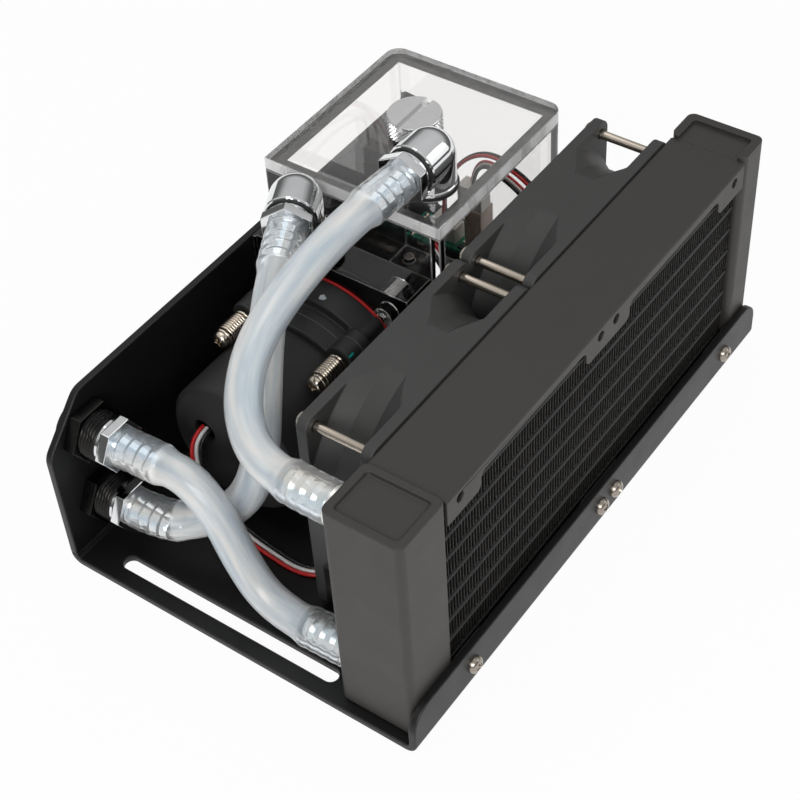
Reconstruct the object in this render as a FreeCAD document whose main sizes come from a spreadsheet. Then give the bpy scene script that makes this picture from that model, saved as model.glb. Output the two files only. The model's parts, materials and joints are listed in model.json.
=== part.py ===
"""Liquid cooling unit: tray, two-fan radiator, sprung pump, clear reservoir, hoses and couplings.

Millimetres. +X runs along the tray, +Y from the radiator to the back wall, +Z up. The origin is the
middle of the base's underside. Every size is a cell of the sheet, and places are worked out from them.
"""
import FreeCAD, Part
import Sketcher
import math
import os
import re

Vector = FreeCAD.Vector
Rotation = FreeCAD.Rotation
doc = FreeCAD.newDocument("CoolingUnit")
sheet = doc.addObject("Spreadsheet::Sheet", "Sizes")

# Driving dimensions: word, value, what it is
SIZES = [
    ("sheet_thick", 2.5, "tray sheet"),
    ("bend_radius", 4.0, "outside of the tray's bends"),
    ("wall_height", 63.5, "back wall above the underside"),
    ("wall_distance", 126.5, "radiator front face to the wall"),
    ("wall_cut", 16.0, "cut corners of the wall"),
    ("wall_round", 6.0, "rounding at the ends of the wall's cuts"),
    ("lip_height", 17.5, "front lip above the underside"),
    ("lip_round", 8.0, "round ends of the lip"),
    ("slot_width", 5.0, "mounting slots in the base"),
    ("slot_flat", 0.01, "flat left between the slots' round corners"),
    ("slot_inset", 7.9, "slot centre from the tray's end"),
    ("slot_start", 31.0, "slot's near end behind the radiator face"),
    ("slot_end", 113.5, "slot's far end behind the radiator face"),
    ("radiator_inset", 3.0, "tray end to near tank"),
    ("far_room", 2.5, "far tank to the tray's other end"),
    ("radiator_depth", 26.0, "radiator along Y"),
    ("near_tank_width", 20.8, "tank with the hose stubs"),
    ("far_tank_width", 13.0, "return tank"),
    ("core_spare", 3.7, "tubes and fins longer than the two fans"),
    ("tank_over", 3.2, "radiator tanks taller than the fans"),
    ("tank_round", 2.5, "radiator tank corners"),
    ("rim_width", 2.8, "raised rim on the tanks"),
    ("rim_depth", 1.2, "sunk top panel of the tanks"),
    ("panel_round", 1.2, "corners of the sunk panels"),
    ("plate_thick", 1.2, "radiator side plates"),
    ("plate_drop", 1.2, "side plates below the tank rims"),
    ("flange_drop", 3.6, "turned edge of the side plates"),
    ("tab_margin", 5.95, "screw tabs past their screws"),
    ("tab_round", 2.4, "round corners of the screw tabs"),
    ("plate_round", 1.1, "bent edges of the side plates"),
    ("tab_width", 16.0, "end screw tabs"),
    ("middle_tab_width", 24.0, "shared middle tab"),
    ("tube_count", 8, "flat tubes"),
    ("tube_thick", 2.0, "flat tube height"),
    ("core_inset", 2.2, "tubes behind the front face"),
    ("fin_thick", 0.4, "folded fin strip"),
    ("fin_pitch", 6.5, "fold to fold"),
    ("fin_inset", 0.5, "fins behind the tubes' edges"),
    ("fan_size", 80.0, "square fan frame"),
    ("fan_depth", 25.0, "fan along Y"),
    ("fan_lift", 1.0, "fan axis above the middle of the tanks"),
    ("fan_hole_inset", 4.25, "fan screws from the frame's edges"),
    ("fan_rim", 2.0, "duct inside to the frame's edge"),
    ("fan_wall", 3.1, "duct wall at the throat"),
    ("fan_flange", 3.6, "fan corner plates"),
    ("fan_flare", 5.5, "length of the duct flares"),
    ("flare_rise", 3.7, "duct flares at the corner plates"),
    ("fan_corner", 4.0, "frame corner rounding"),
    ("hub_radius", 17.0, "fan hub"),
    ("motor_base", 4.0, "rear motor plate and struts"),
    ("strut_width", 5.0, "motor struts"),
    ("tip_gap", 1.0, "blade tip to duct"),
    ("rotor_gap", 0.6, "rotor to motor plate"),
    ("rotor_inset", 3.0, "rotor behind the front plate"),
    ("blade_thick", 1.6, "blade section"),
    ("blade_count", 7, "blades per rotor"),
    ("blade_start", 10.2, "blade's inner end, inside the hub"),
    ("blade_root_half", 6.2, "half the blade's width at the hub"),
    ("blade_root_rise", 6.6, "half the blade's depth at the hub"),
    ("blade_tip_half", 11.5, "half the blade's width at the duct"),
    ("blade_tip_rise", 5.4, "half the blade's depth at the duct"),
    ("blade_bow", 1.2, "bow of the blade's section"),
    ("hub_edge", 1.5, "broken edge of the hub"),
    ("shaft_inset", 1.0, "fan shaft behind the hub's face"),
    ("fan_shaft_radius", 1.5, "fan shaft"),
    ("bearing_radius", 3.5, "fan bearing outside"),
    ("running_gap", 0.05, "shaft in bearing, each side"),
    ("screw_radius", 1.5, "small screws"),
    ("screw_gap", 0.15, "screw in clearance hole, each side"),
    ("head_radius", 2.9, "small screw heads"),
    ("head_height", 2.0, "small screw heads"),
    ("screw_grip", 1.0, "screw past the tab that it holds"),
    ("pump_distance", 93.8, "pump axis behind the radiator face"),
    ("pump_height", 29.75, "pump axis above the deck"),
    ("pump_length", 52.5, "pump can and flange along X"),
    ("pump_radius", 24.0, "pump can"),
    ("can_wall", 2.2, "pump can wall"),
    ("brim_radius", 26.0, "brim of the pump can under the clamp ring"),
    ("brim_thick", 3.0, "brim of the pump can"),
    ("pump_edge", 1.6, "broken edge of the can"),
    ("lead_hole_radius", 4.0, "lead hole in the can's end"),
    ("lead_hole_offset", 11.0, "lead hole beside the axis"),
    ("lead_hole_rise", 2.6, "lead hole above the axis"),
    ("flange_radius", 29.5, "clamp ring"),
    ("flange_thick", 9.5, "clamp ring"),
    ("collar_radius", 26.4, "clamp ring's collar"),
    ("fit_gap", 0.3, "can in clamp ring, each side"),
    ("ear_radius", 5.0, "clamp ring's ears"),
    ("ear_length", 19.8, "clamp ring's ears and collar"),
    ("ear_tail", 2.8, "radius of the ears' thin ends along the ring"),
    ("ear_side", 18.3, "ears beside the axis"),
    ("ear_rise", 20.9, "ears above and below the axis"),
    ("spring_length", 11.5, "pump springs"),
    ("spring_radius", 3.5, "pump springs outside"),
    ("spring_wire", 1.1, "pump spring wire"),
    ("gasket_thick", 0.8, "pump gasket"),
    ("gasket_inner", 22.0, "pump gasket inside"),
    ("block_thick", 12.7, "clear pump block along X"),
    ("block_width", 59.6, "clear pump block along Y"),
    ("block_height", 64.2, "clear pump block above the deck"),
    ("chamber_radius", 20.0, "pump chamber"),
    ("chamber_depth", 8.5, "pump chamber"),
    ("eye_radius", 7.0, "pump inlet"),
    ("boss_half", 9.6, "outlet boss, half its side"),
    ("boss_height", 72.5, "outlet boss above the deck"),
    ("boss_foot", 60.0, "underside of the boss above the deck"),
    ("outlet_offset", 12.7, "outlet beside the pump axis"),
    ("outlet_radius", 2.5, "outlet channel"),
    ("insert_radius", 3.4, "knurled inserts"),
    ("insert_length", 8.0, "knurled inserts"),
    ("can_radius", 14.0, "separating can outside"),
    ("separator_wall", 0.8, "separating can wall"),
    ("separator_length", 26.0, "separating can behind the gasket"),
    ("separator_brim", 1.6, "separating can's brim"),
    ("stator_gap", 0.3, "stator to its neighbours"),
    ("stator_length", 19.0, "stator"),
    ("stator_inset", 2.0, "stator short of the separating can's end"),
    ("magnet_gap", 0.6, "rotor in separating can"),
    ("magnet_length", 20.0, "rotor magnet"),
    ("impeller_radius", 18.5, "impeller"),
    ("impeller_plate", 2.0, "impeller back plate"),
    ("impeller_hub", 5.0, "impeller hub radius"),
    ("impeller_gap", 0.6, "impeller clear of its neighbours along X"),
    ("vane_lean", 35.0, "vanes swept back, degrees"),
    ("vane_height", 4.0, "impeller vanes"),
    ("vane_thick", 1.6, "impeller vanes"),
    ("vane_count", 6, "impeller vanes"),
    ("pump_shaft_radius", 2.0, "pump shaft"),
    ("reservoir_x", 7.0, "reservoir's pump side from the middle"),
    ("reservoir_length", 71.0, "reservoir along X"),
    ("reservoir_width", 66.2, "reservoir along Y"),
    ("reservoir_height", 81.1, "reservoir box above the deck"),
    ("reservoir_wall", 5.0, "acrylic walls and floor"),
    ("reservoir_round", 5.0, "round far corners"),
    ("wall_gap", 0.3, "reservoir to back wall"),
    ("lid_thick", 4.5, "reservoir lid"),
    ("lid_port_x", 16.7, "lid port from the pump side"),
    ("lid_port_y", 14.7, "lid port from the front side"),
    ("plug_radius", 9.1, "fill plug head"),
    ("plug_height", 6.5, "fill plug head"),
    ("plug_edge", 0.6, "broken edge of the plug's head"),
    ("plug_slot", 2.4, "coin slot width"),
    ("plug_slot_depth", 2.0, "coin slot depth"),
    ("plug_stem", 6.4, "fill plug stem radius"),
    ("plug_reach", 8.0, "fill plug stem below the seal"),
    ("seal_thick", 0.8, "thin seals"),
    ("seal_inset", 0.4, "seals inside the rims above them"),
    ("seal_width", 2.4, "fill plug seal"),
    ("elbow_flange", 9.5, "elbow foot radius"),
    ("elbow_foot", 1.5, "elbow foot"),
    ("elbow_column", 8.2, "elbow column radius"),
    ("elbow_ball", 8.6, "elbow corner radius"),
    ("elbow_arm", 8.3, "elbow arm radius"),
    ("elbow_rise", 10.3, "elbow arm axis above its foot"),
    ("elbow_reach", 9.2, "elbow arm end from its column"),
    ("elbow_bore", 4.0, "elbow passage"),
    ("elbow_thread", 6.4, "elbow thread radius"),
    ("elbow_grip", 4.3, "elbow thread length"),
    ("port_spare", 0.5, "outlet port deeper than the elbow's thread"),
    ("outlet_turn", 27.0, "outlet arm turned from the tray's length"),
    ("barb_hex", 15.5, "hose stub hexagon across flats"),
    ("barb_hex_length", 5.0, "hose stub hexagon"),
    ("barb_collar", 7.5, "round collar behind the hexagon"),
    ("barb_collar_length", 1.6, "round collar behind the hexagon"),
    ("barb_root", 3.6, "hose stub between ridges"),
    ("barb_ridge", 4.1, "hose stub ridges"),
    ("barb_length", 15.0, "hose stub"),
    ("barb_bore", 3.0, "hose stub passage"),
    ("barb_ridges", 4, "hose stub ridges"),
    ("stub_collar", 6.2, "radiator stub collar radius"),
    ("stub_collar_length", 3.0, "radiator stub collar"),
    ("stub_drop", 9.95, "upper radiator stub below the tank's top"),
    ("stub_lower", 9.85, "lower radiator stub above the deck"),
    ("stub_inset", 10.5, "radiator stubs from the near tank's end"),
    ("hose_outer", 5.75, "hose outside radius"),
    ("hose_inner", 4.2, "hose inside radius"),
    ("bulkhead_inset", 16.0, "couplings from the tray's end"),
    ("bulkhead_upper_z", 45.35, "upper coupling above the deck"),
    ("bulkhead_lower_z", 17.85, "lower coupling above the deck"),
    ("bulkhead_radius", 8.0, "coupling thread radius"),
    ("bulkhead_flange", 9.4, "coupling outer flange radius"),
    ("port_flange", 1.6, "coupling flange outside the wall"),
    ("bulkhead_reach", 9.5, "coupling inside the wall"),
    ("port_radius", 5.73, "threaded port, drill size"),
    ("port_depth", 12.0, "threaded port"),
    ("nut_flats", 18.5, "coupling nut across flats"),
    ("nut_thick", 4.4, "coupling nut"),
    ("board_length", 10.0, "control board along X"),
    ("board_width", 28.5, "control board along Y"),
    ("board_thick", 1.6, "control board"),
    ("board_gap", 2.5, "board to reservoir"),
    ("board_start", 35.75, "board from the reservoir's front side"),
    ("board_foot", 3.5, "board above the deck"),
    ("standoff_radius", 2.5, "board standoffs"),
    ("standoff_inset", 3.5, "standoffs from the board's ends"),
    ("tower_length", 8.0, "beige block on the board along X"),
    ("tower_width", 7.0, "beige block on the board along Y"),
    ("tower_rise", 19.4, "beige block above the board"),
    ("tower_inset", 1.6, "beige block from the board's edges"),
    ("connector_length", 6.0, "white connectors along X"),
    ("connector_width", 7.0, "white connectors along Y and Z"),
    ("connector_inset", 2.1, "white connectors from the board's edge"),
    ("connector_step", 11.4, "connector to connector"),
    ("wire_radius", 0.65, "lead wires"),
    ("wire_gap", 0.2, "wire to wire"),
    ("tank_screw_radius", 2.0, "reservoir screws"),
    ("tank_screw_head", 3.8, "reservoir screw heads"),
    ("tank_screw_sink", 1.8, "countersink depth"),
    ("tank_screw_grip", 4.0, "reservoir screws in the floor"),
    ("tank_screw_inset", 9.0, "reservoir screws from its corners"),
    ("cut_over", 1.0, "countersink cutters past the sheet's faces"),
]

# Places worked out from the sizes
PLACES = {
    "deck": "sheet_thick",
    "core_length": "2 * fan_size + core_spare",
    "tray_length": "radiator_inset + near_tank_width + core_length + far_tank_width + far_room",
    "tank_height": "fan_size + tank_over",
    "tray_left": "-tray_length / 2",
    "tray_right": "tray_length / 2",
    "lip_reach": "sheet_thick + head_height",
    "rear_reach": "wall_distance + sheet_thick + port_flange",
    "face": "(lip_reach - rear_reach) / 2",
    "wall_inner": "face + wall_distance",
    "wall_outer": "wall_inner + sheet_thick",
    "near_left": "tray_left + radiator_inset",
    "core_left": "near_left + near_tank_width",
    "core_right": "core_left + core_length",
    "core_mid": "core_left + core_length / 2",
    "tank_crown": "deck + tank_height",
    "plate_top": "tank_crown - plate_drop",
    "plate_bottom": "deck + plate_drop",
    "radiator_back": "face + radiator_depth",
    "fan_back": "radiator_back + fan_depth",
    "fan_z": "deck + tank_height / 2 + fan_lift",
    "fan_radius": "fan_size / 2 - fan_rim",
    "hole_half": "fan_size / 2 - fan_hole_inset",
    "upper_row": "fan_z + hole_half",
    "lower_row": "fan_z - hole_half",
    "fan_near_x": "core_mid - fan_size / 2",
    "fan_far_x": "core_mid + fan_size / 2",
    "screw_hole": "screw_radius + screw_gap",
    "bend_inside": "bend_radius - sheet_thick",
    "brim_end": "separator_brim + brim_thick",
    "pump_inside": "pump_radius - can_wall",
    "pump_seat": "pump_radius + fit_gap",
    "rotor_end": "fan_depth - motor_base - rotor_gap",
    "pump_y": "face + pump_distance",
    "pump_z": "deck + pump_height",
    "block_left": "reservoir_x - block_thick",
    "gasket_left": "block_left - gasket_thick",
    "ear_left": "gasket_left - ear_length",
    "spring_left": "ear_left - spring_length",
    "can_end": "gasket_left - pump_length",
    "lead_y": "pump_y + lead_hole_offset",
    "lead_z": "pump_z + lead_hole_rise",
    "lead_floor": "deck + wire_radius + fit_gap",
    "reservoir_right": "reservoir_x + reservoir_length",
    "reservoir_back": "wall_inner - wall_gap",
    "reservoir_front": "reservoir_back - reservoir_width",
    "reservoir_top": "deck + reservoir_height",
    "lid_top": "reservoir_top + lid_thick",
    "lid_mid_x": "reservoir_x + reservoir_length / 2",
    "lid_mid_y": "reservoir_front + reservoir_width / 2",
    "lid_elbow_x": "reservoir_x + lid_port_x",
    "lid_elbow_y": "reservoir_front + lid_port_y",
    "outlet_x": "reservoir_x - boss_half",
    "outlet_y": "pump_y + outlet_offset",
    "boss_top": "deck + boss_height",
    "bulkhead_x": "tray_left + bulkhead_inset",
    "bulkhead_end": "wall_inner - bulkhead_reach",
    "stub_x": "near_left + stub_inset",
    "stub_upper": "tank_height - stub_drop",
    "board_left": "reservoir_right + board_gap",
    "board_front": "reservoir_front + board_start",
    "board_base": "deck + board_foot",
    "board_top": "board_base + board_thick",
    "tower_top": "board_top + tower_rise",
    "slot_near": "tray_left + slot_inset",
    "slot_far": "tray_right - slot_inset",
}


def fill_sheet():
    for row, (word, value, note) in enumerate(SIZES, start=1):
        sheet.set("A%d" % row, note)
        sheet.set("B%d" % row, str(value))
        sheet.setAlias("B%d" % row, word)
    doc.recompute()


fill_sheet()
WORDS = {word for word, value, note in SIZES}
TO_X = Rotation(Vector(0, 1, 0), 90)
TO_MINUS_X = Rotation(Vector(0, 1, 0), -90)
TO_Y = Rotation(Vector(1, 0, 0), -90)
TO_MINUS_Y = Rotation(Vector(1, 0, 0), 90)
UPRIGHT = Rotation()
NEAR = 0.01
CREST_SHARE = 0.35
ARC_SHARE = 0.45
nodes = []


def formula(text):
    """Write a size or place as an expression on the sheet's cells."""
    def spell(match):
        word = match.group(0)
        if word in PLACES:
            return "(" + formula(PLACES[word]) + ")"
        if word in WORDS:
            return "Sizes." + word
        return word
    return re.sub(r"[a-z_]+", spell, str(text))


def number(text):
    return float(sheet.evalExpression(formula(text)))


def bind(item, **sizes):
    for name, text in sizes.items():
        item.setExpression(name, formula(text))


def place(item, x, y, z, turn=UPRIGHT):
    item.Placement = FreeCAD.Placement(Vector(0, 0, 0), turn)
    for axis, text in zip("xyz", (x, y, z)):
        item.setExpression("Placement.Base." + axis, formula(text))
    return item


def node(label, item):
    """Register an object as one of the unit's pieces."""
    item.Label = label
    nodes.append(item)
    return item


# Solids from primitives and booleans

def box(length, width, height, x, y, z):
    item = doc.addObject("Part::Box", "Box")
    bind(item, Length=length, Width=width, Height=height)
    return place(item, x, y, z)


def cylinder(radius, length, x, y, z, turn=UPRIGHT):
    item = doc.addObject("Part::Cylinder", "Cylinder")
    bind(item, Radius=radius, Height=length)
    return place(item, x, y, z, turn)


def hexagon(flats, length, x, y, z, turn=UPRIGHT):
    item = doc.addObject("Part::Prism", "Hexagon")
    item.Polygon = 6
    bind(item, Circumradius="(%s) / 2 / cos(30)" % flats, Height=length)
    return place(item, x, y, z, turn)


def fuse(*items):
    item = doc.addObject("Part::MultiFuse", "Fuse")
    item.Shapes = list(items)
    return item


def group(*items):
    item = doc.addObject("Part::Compound", "Group")
    item.Links = list(items)
    return item


def cut(base, *tools):
    item = doc.addObject("Part::Cut", "Cut")
    item.Base = base
    item.Tool = tools[0] if len(tools) == 1 else fuse(*tools)
    return item


def common(base, tool):
    item = doc.addObject("Part::Common", "Common")
    item.Base = base
    item.Tool = tool
    return item


# Bodies from sketches

def new_body(name):
    return doc.addObject("PartDesign::Body", name)


def origin_part(body, role):
    return [item for item in body.Origin.OriginFeatures if item.Role == role][0]


def sketch_on(body, role, offset="0"):
    """A sketch on one of the body's own planes, lifted along the plane's normal."""
    sketch = body.newObject("Sketcher::SketchObject", "Sketch")
    sketch.AttachmentSupport = [(origin_part(body, role), "")]
    sketch.MapMode = "FlatFace"
    sketch.setExpression("AttachmentOffset.Base.z", formula(offset))
    return sketch


def fix(sketch, kind, where, text):
    """Tie a point or a radius of the sketch to the sheet."""
    index = sketch.addConstraint(Sketcher.Constraint(kind, *where, number(text)))
    sketch.setExpression("Constraints[%d]" % index, formula(text))


def outline(sketch, points):
    """A closed outline of straight lines through points given as formulas."""
    first = sketch.GeometryCount
    corners = [Vector(number(x), number(y), 0) for x, y in points]
    count = len(points)
    for index in range(count):
        sketch.addGeometry(Part.LineSegment(corners[index], corners[(index + 1) % count]), False)
    for index in range(count):
        following = first + (index + 1) % count
        sketch.addConstraint(Sketcher.Constraint("Coincident", first + index, 2, following, 1))
    for index, (x, y) in enumerate(points):
        fix(sketch, "DistanceX", (-1, 1, first + index, 1), x)
        fix(sketch, "DistanceY", (-1, 1, first + index, 1), y)


def rectangle(sketch, x0, y0, x1, y1):
    outline(sketch, [(x0, y0), (x1, y0), (x1, y1), (x0, y1)])


def circle(sketch, x, y, radius):
    centre = Vector(number(x), number(y), 0)
    index = sketch.addGeometry(Part.Circle(centre, Vector(0, 0, 1), number(radius)), False)
    fix(sketch, "DistanceX", (-1, 1, index, 3), x)
    fix(sketch, "DistanceY", (-1, 1, index, 3), y)
    fix(sketch, "Radius", (index,), radius)


def pad(body, sketch, length, back=False):
    feature = body.newObject("PartDesign::Pad", "Pad")
    feature.Profile = sketch
    feature.Reversed = back
    bind(feature, Length=length)
    return feature


def pocket(body, sketch, length=None, back=False):
    """Cut the sketch out of the body, right through where no length is given."""
    doc.recompute()
    before = body.Shape.Volume
    feature = body.newObject("PartDesign::Pocket", "Pocket")
    feature.Profile = sketch
    feature.Reversed = back
    if length is None:
        feature.Type = "ThroughAll"
    else:
        bind(feature, Length=length)
    doc.recompute()
    if not body.Shape.Volume < before:
        raise RuntimeError("a pocket of %s cuts nothing" % body.Label)
    return feature


def revolve(body, sketch, cutting=False):
    kind = "PartDesign::Groove" if cutting else "PartDesign::Revolution"
    doc.recompute()
    before = body.Shape.Volume if cutting else 0
    feature = body.newObject(kind, "Turned")
    feature.Profile = sketch
    feature.ReferenceAxis = (sketch, ["V_Axis"])
    feature.Angle = 360
    doc.recompute()
    if cutting and not body.Shape.Volume < before:
        raise RuntimeError("a groove of %s cuts nothing" % body.Label)
    return feature


def dress(body, kind, size, wanted):
    """Fillet or chamfer the edges of the body that the test picks out."""
    doc.recompute()
    base = body.Tip
    names = ["Edge%d" % (index + 1) for index, edge in enumerate(base.Shape.Edges) if wanted(edge)]
    feature = body.newObject("PartDesign::" + kind, kind)
    feature.Base = (base, names)
    bind(feature, **{"Radius" if kind == "Fillet" else "Size": size})
    doc.recompute()
    return feature


def runs_along(edge, axis):
    if len(edge.Vertexes) != 2:
        return False
    step = edge.Vertexes[1].Point - edge.Vertexes[0].Point
    return step.Length > 0 and abs(abs(step.normalize()[axis]) - 1) < 1e-6


def lathe(name, points, x="0", y="0", z="0", turn=UPRIGHT):
    """A turned body: points are (radius, length along the axis)."""
    body = new_body(name)
    sketch = sketch_on(body, "XZ_Plane")
    outline(sketch, points)
    revolve(body, sketch)
    return place(body, x, y, z, turn)


def ring(name, inner, outer, length, x, y, z, turn=UPRIGHT):
    return lathe(name, [(inner, "0"), (outer, "0"), (outer, length), (inner, length)], x, y, z, turn)


def screw(head_radius, head_height, radius, length, x, y, z, turn):
    """A plain-headed screw: its head's seat is at the place given and its shank points along the turn."""
    return lathe("Screw", [("0", "-" + head_height), (head_radius, "-" + head_height), (head_radius, "0"),
                           (radius, "0"), (radius, length), ("0", length)], x, y, z, turn)


# The tray

def make_tray():
    """One bent sheet, kept as two pieces that meet above the rear bend: base with lip, and wall."""
    body = new_body("TraySheet")
    profile = sketch_on(body, "YZ_Plane", "tray_left")
    outline(profile, [
        ("face - sheet_thick", "lip_height"), ("face - sheet_thick", "0"), ("wall_outer", "0"),
        ("wall_outer", "wall_height"), ("wall_inner", "wall_height"), ("wall_inner", "deck"),
        ("face", "deck"), ("face", "lip_height")])
    pad(body, profile, "tray_length")

    def bend(level):
        return lambda edge: runs_along(edge, 0) and abs(edge.CenterOfMass.z - number(level)) < NEAR

    dress(body, "Fillet", "bend_radius", bend("0"))
    dress(body, "Fillet", "bend_inside", bend("deck"))
    dress(body, "Chamfer", "wall_cut",
          lambda edge: runs_along(edge, 1) and edge.CenterOfMass.z > number("wall_height") - NEAR)
    dress(body, "Fillet", "wall_round",
          lambda edge: runs_along(edge, 1) and edge.CenterOfMass.z > number("wall_height - wall_cut") - NEAR)
    dress(body, "Fillet", "lip_round",
          lambda edge: runs_along(edge, 1) and abs(edge.CenterOfMass.z - number("lip_height")) < NEAR)
    base = sketch_on(body, "XY_Plane")
    for x in ("slot_near", "slot_far"):
        rectangle(base, x + " - slot_width / 2", "face + slot_start",
                  x + " + slot_width / 2", "face + slot_end")
    pocket(body, base, back=True)
    dress(body, "Fillet", "(slot_width - slot_flat) / 2", lambda edge: is_slot_corner(edge))
    front = sketch_on(body, "XZ_Plane")
    for x in fan_hole_places():
        circle(front, x, "lower_row", "screw_hole")
    pocket(body, front, back=True)
    back = sketch_on(body, "XZ_Plane")
    for level in ("bulkhead_upper_z", "bulkhead_lower_z"):
        circle(back, "bulkhead_x", "deck + " + level, "bulkhead_radius + screw_gap")
    pocket(body, back)
    sinks = [countersink(x, y) for x, y in tank_screw_places()]
    sheet_metal = cut(body, *sinks)
    upright = box("tray_length", "sheet_thick", "wall_height - bend_radius",
                  "tray_left", "wall_inner", "bend_radius")
    node("tray", cut(sheet_metal, upright))
    node("tray_wall", common(sheet_metal, upright))


def is_slot_corner(edge):
    inside = abs(edge.CenterOfMass.x) < number("tray_right - slot_width / 2")
    return runs_along(edge, 2) and inside and edge.CenterOfMass.z < number("deck")


def fan_hole_places():
    return ["%s %s hole_half" % (fan, sign) for fan in ("fan_near_x", "fan_far_x") for sign in "-+"]


def tank_screw_places():
    xs = ("reservoir_x + tank_screw_inset", "reservoir_right - tank_screw_inset")
    ys = ("reservoir_front + tank_screw_inset", "reservoir_back - tank_screw_inset")
    return [(x, y) for x in xs for y in ys]


def countersink(x, y):
    """The hole for a countersunk reservoir screw, with its clearance."""
    wide = "tank_screw_head + screw_gap"
    narrow = "tank_screw_radius + screw_gap"
    return lathe("Sink", [("0", "-cut_over"), (wide, "-cut_over"), (wide, "0"), (narrow, "tank_screw_sink"),
                          (narrow, "deck + cut_over"), ("0", "deck + cut_over")], x, y, "0")


def make_tray_screws():
    lips = [screw("head_radius", "head_height", "screw_radius", "sheet_thick + plate_thick + screw_grip",
                  x, "face - sheet_thick", "lower_row", TO_Y) for x in fan_hole_places()]
    node("lip_screws", group(*lips))
    sunk = []
    for x, y in tank_screw_places():
        sunk.append(lathe("SunkScrew", [("0", "0"), ("tank_screw_head", "0"),
                                        ("tank_screw_radius", "tank_screw_sink"),
                                        ("tank_screw_radius", "deck + tank_screw_grip"),
                                        ("0", "deck + tank_screw_grip")], x, y, "0"))
    node("tank_screws", group(*sunk))


# The radiator

def radiator_tank(label, left, right, open_side):
    """A box tank with a raised rim; the far tank's rim is open towards the top plate."""
    body = new_body("RadiatorTank")
    base = sketch_on(body, "XY_Plane", "deck")
    rectangle(base, left, "face", right, "radiator_back")
    pad(body, base, "tank_height")
    dress(body, "Fillet", "tank_round", lambda edge: runs_along(edge, 2))
    dress(body, "Fillet", "bend_inside + fit_gap", lambda edge: edge.CenterOfMass.z < number("deck") + NEAR)
    top = sketch_on(body, "XY_Plane", "tank_crown")
    inner_left = left + (" - tank_round" if open_side else " + rim_width")
    rectangle(top, inner_left, "face + rim_width", right + " - rim_width", "radiator_back - rim_width")
    pocket(body, top, "rim_depth")
    inside = number("%s + rim_width / 2" % left)

    def panel_corner(edge):
        short = edge.Length < number("rim_depth") + NEAR
        return short and runs_along(edge, 2) and edge.CenterOfMass.x > inside

    dress(body, "Fillet", "panel_round", panel_corner)
    return node(label, body)


def radiator_plate(label, web, inside, flange, row, tab):
    """A channel along the core: levels of its web, its turned edges, its screws and the ends of its tabs."""
    body = new_body("RadiatorPlate")
    profile = sketch_on(body, "YZ_Plane", "core_left")
    front = "face + plate_thick"
    back = "radiator_back - plate_thick"
    outline(profile, [("face", web), ("radiator_back", web), ("radiator_back", tab), (back, tab),
                      (back, inside), (front, inside), (front, tab), ("face", tab)])
    pad(body, profile, "core_length")
    gaps = sketch_on(body, "XZ_Plane")
    for start, end in (("core_left + tab_width", "core_mid - middle_tab_width / 2"),
                       ("core_mid + middle_tab_width / 2", "core_right - tab_width")):
        rectangle(gaps, start, flange, end, "2 * (%s) - (%s)" % (tab, flange))
    pocket(body, gaps, back=True)

    def tab_corner(level):
        left = number("core_left") + NEAR
        right = number("core_right") - NEAR
        return lambda edge: (runs_along(edge, 1) and edge.Length < number("2 * plate_thick")
                             and abs(edge.CenterOfMass.z - number(level)) < NEAR
                             and left < edge.CenterOfMass.x < right)

    dress(body, "Fillet", "tab_round", tab_corner(tab))
    dress(body, "Fillet", "tab_round", tab_corner(flange))
    holes = sketch_on(body, "XZ_Plane")
    for x in fan_hole_places():
        circle(holes, x, row, "screw_hole")
    pocket(body, holes, back=True)
    dress(body, "Fillet", "plate_round",
          lambda edge: runs_along(edge, 0) and abs(edge.CenterOfMass.z - number(web)) < NEAR)
    return node(label, body)


def make_radiator():
    radiator_tank("radiator_near_tank", "near_left", "core_left", False)
    radiator_tank("radiator_far_tank", "core_right", "core_right + far_tank_width", True)
    radiator_plate("radiator_top_plate", "plate_top", "plate_top - plate_thick",
                   "plate_top - flange_drop", "upper_row", "upper_row - tab_margin")
    radiator_plate("radiator_bottom_plate", "plate_bottom", "plate_bottom + plate_thick",
                   "plate_bottom + flange_drop", "lower_row", "lower_row + tab_margin")
    node("radiator_tubes", group(*[flat_tube(index) for index in range(int(number("tube_count")))]))
    strips = doc.addObject("Part::Feature", "Fins")
    strips.Shape = Part.makeCompound([fin_strip(row) for row in range(int(number("tube_count")) + 1)])
    node("radiator_fins", strips)
    stubs = []
    for level in ("stub_upper", "stub_lower"):
        collar = lathe("StubCollar", [("barb_bore", "0"), ("stub_collar", "0"),
                                      ("stub_collar", "stub_collar_length"),
                                      ("barb_bore", "stub_collar_length")],
                       "stub_x", "radiator_back", "deck + " + level, TO_Y)
        stub = barb("stub_x", "radiator_back + stub_collar_length", "deck + " + level, TO_Y)
        stubs.append(fuse(collar, stub))
    node("radiator_barbs", group(*stubs))


CORE_FLOOR = "plate_bottom + plate_thick"
CORE_ROOM = "(plate_top - plate_bottom - 2 * plate_thick)"
FIN_HEIGHT = "((%s - tube_count * tube_thick) / (tube_count + 1))" % CORE_ROOM


def flat_tube(index):
    level = "%s + %d * (%s + tube_thick) + %s" % (CORE_FLOOR, index, FIN_HEIGHT, FIN_HEIGHT)
    return box("core_length", "radiator_depth - 2 * core_inset", "tube_thick",
               "core_left", "face + core_inset", level)


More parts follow.
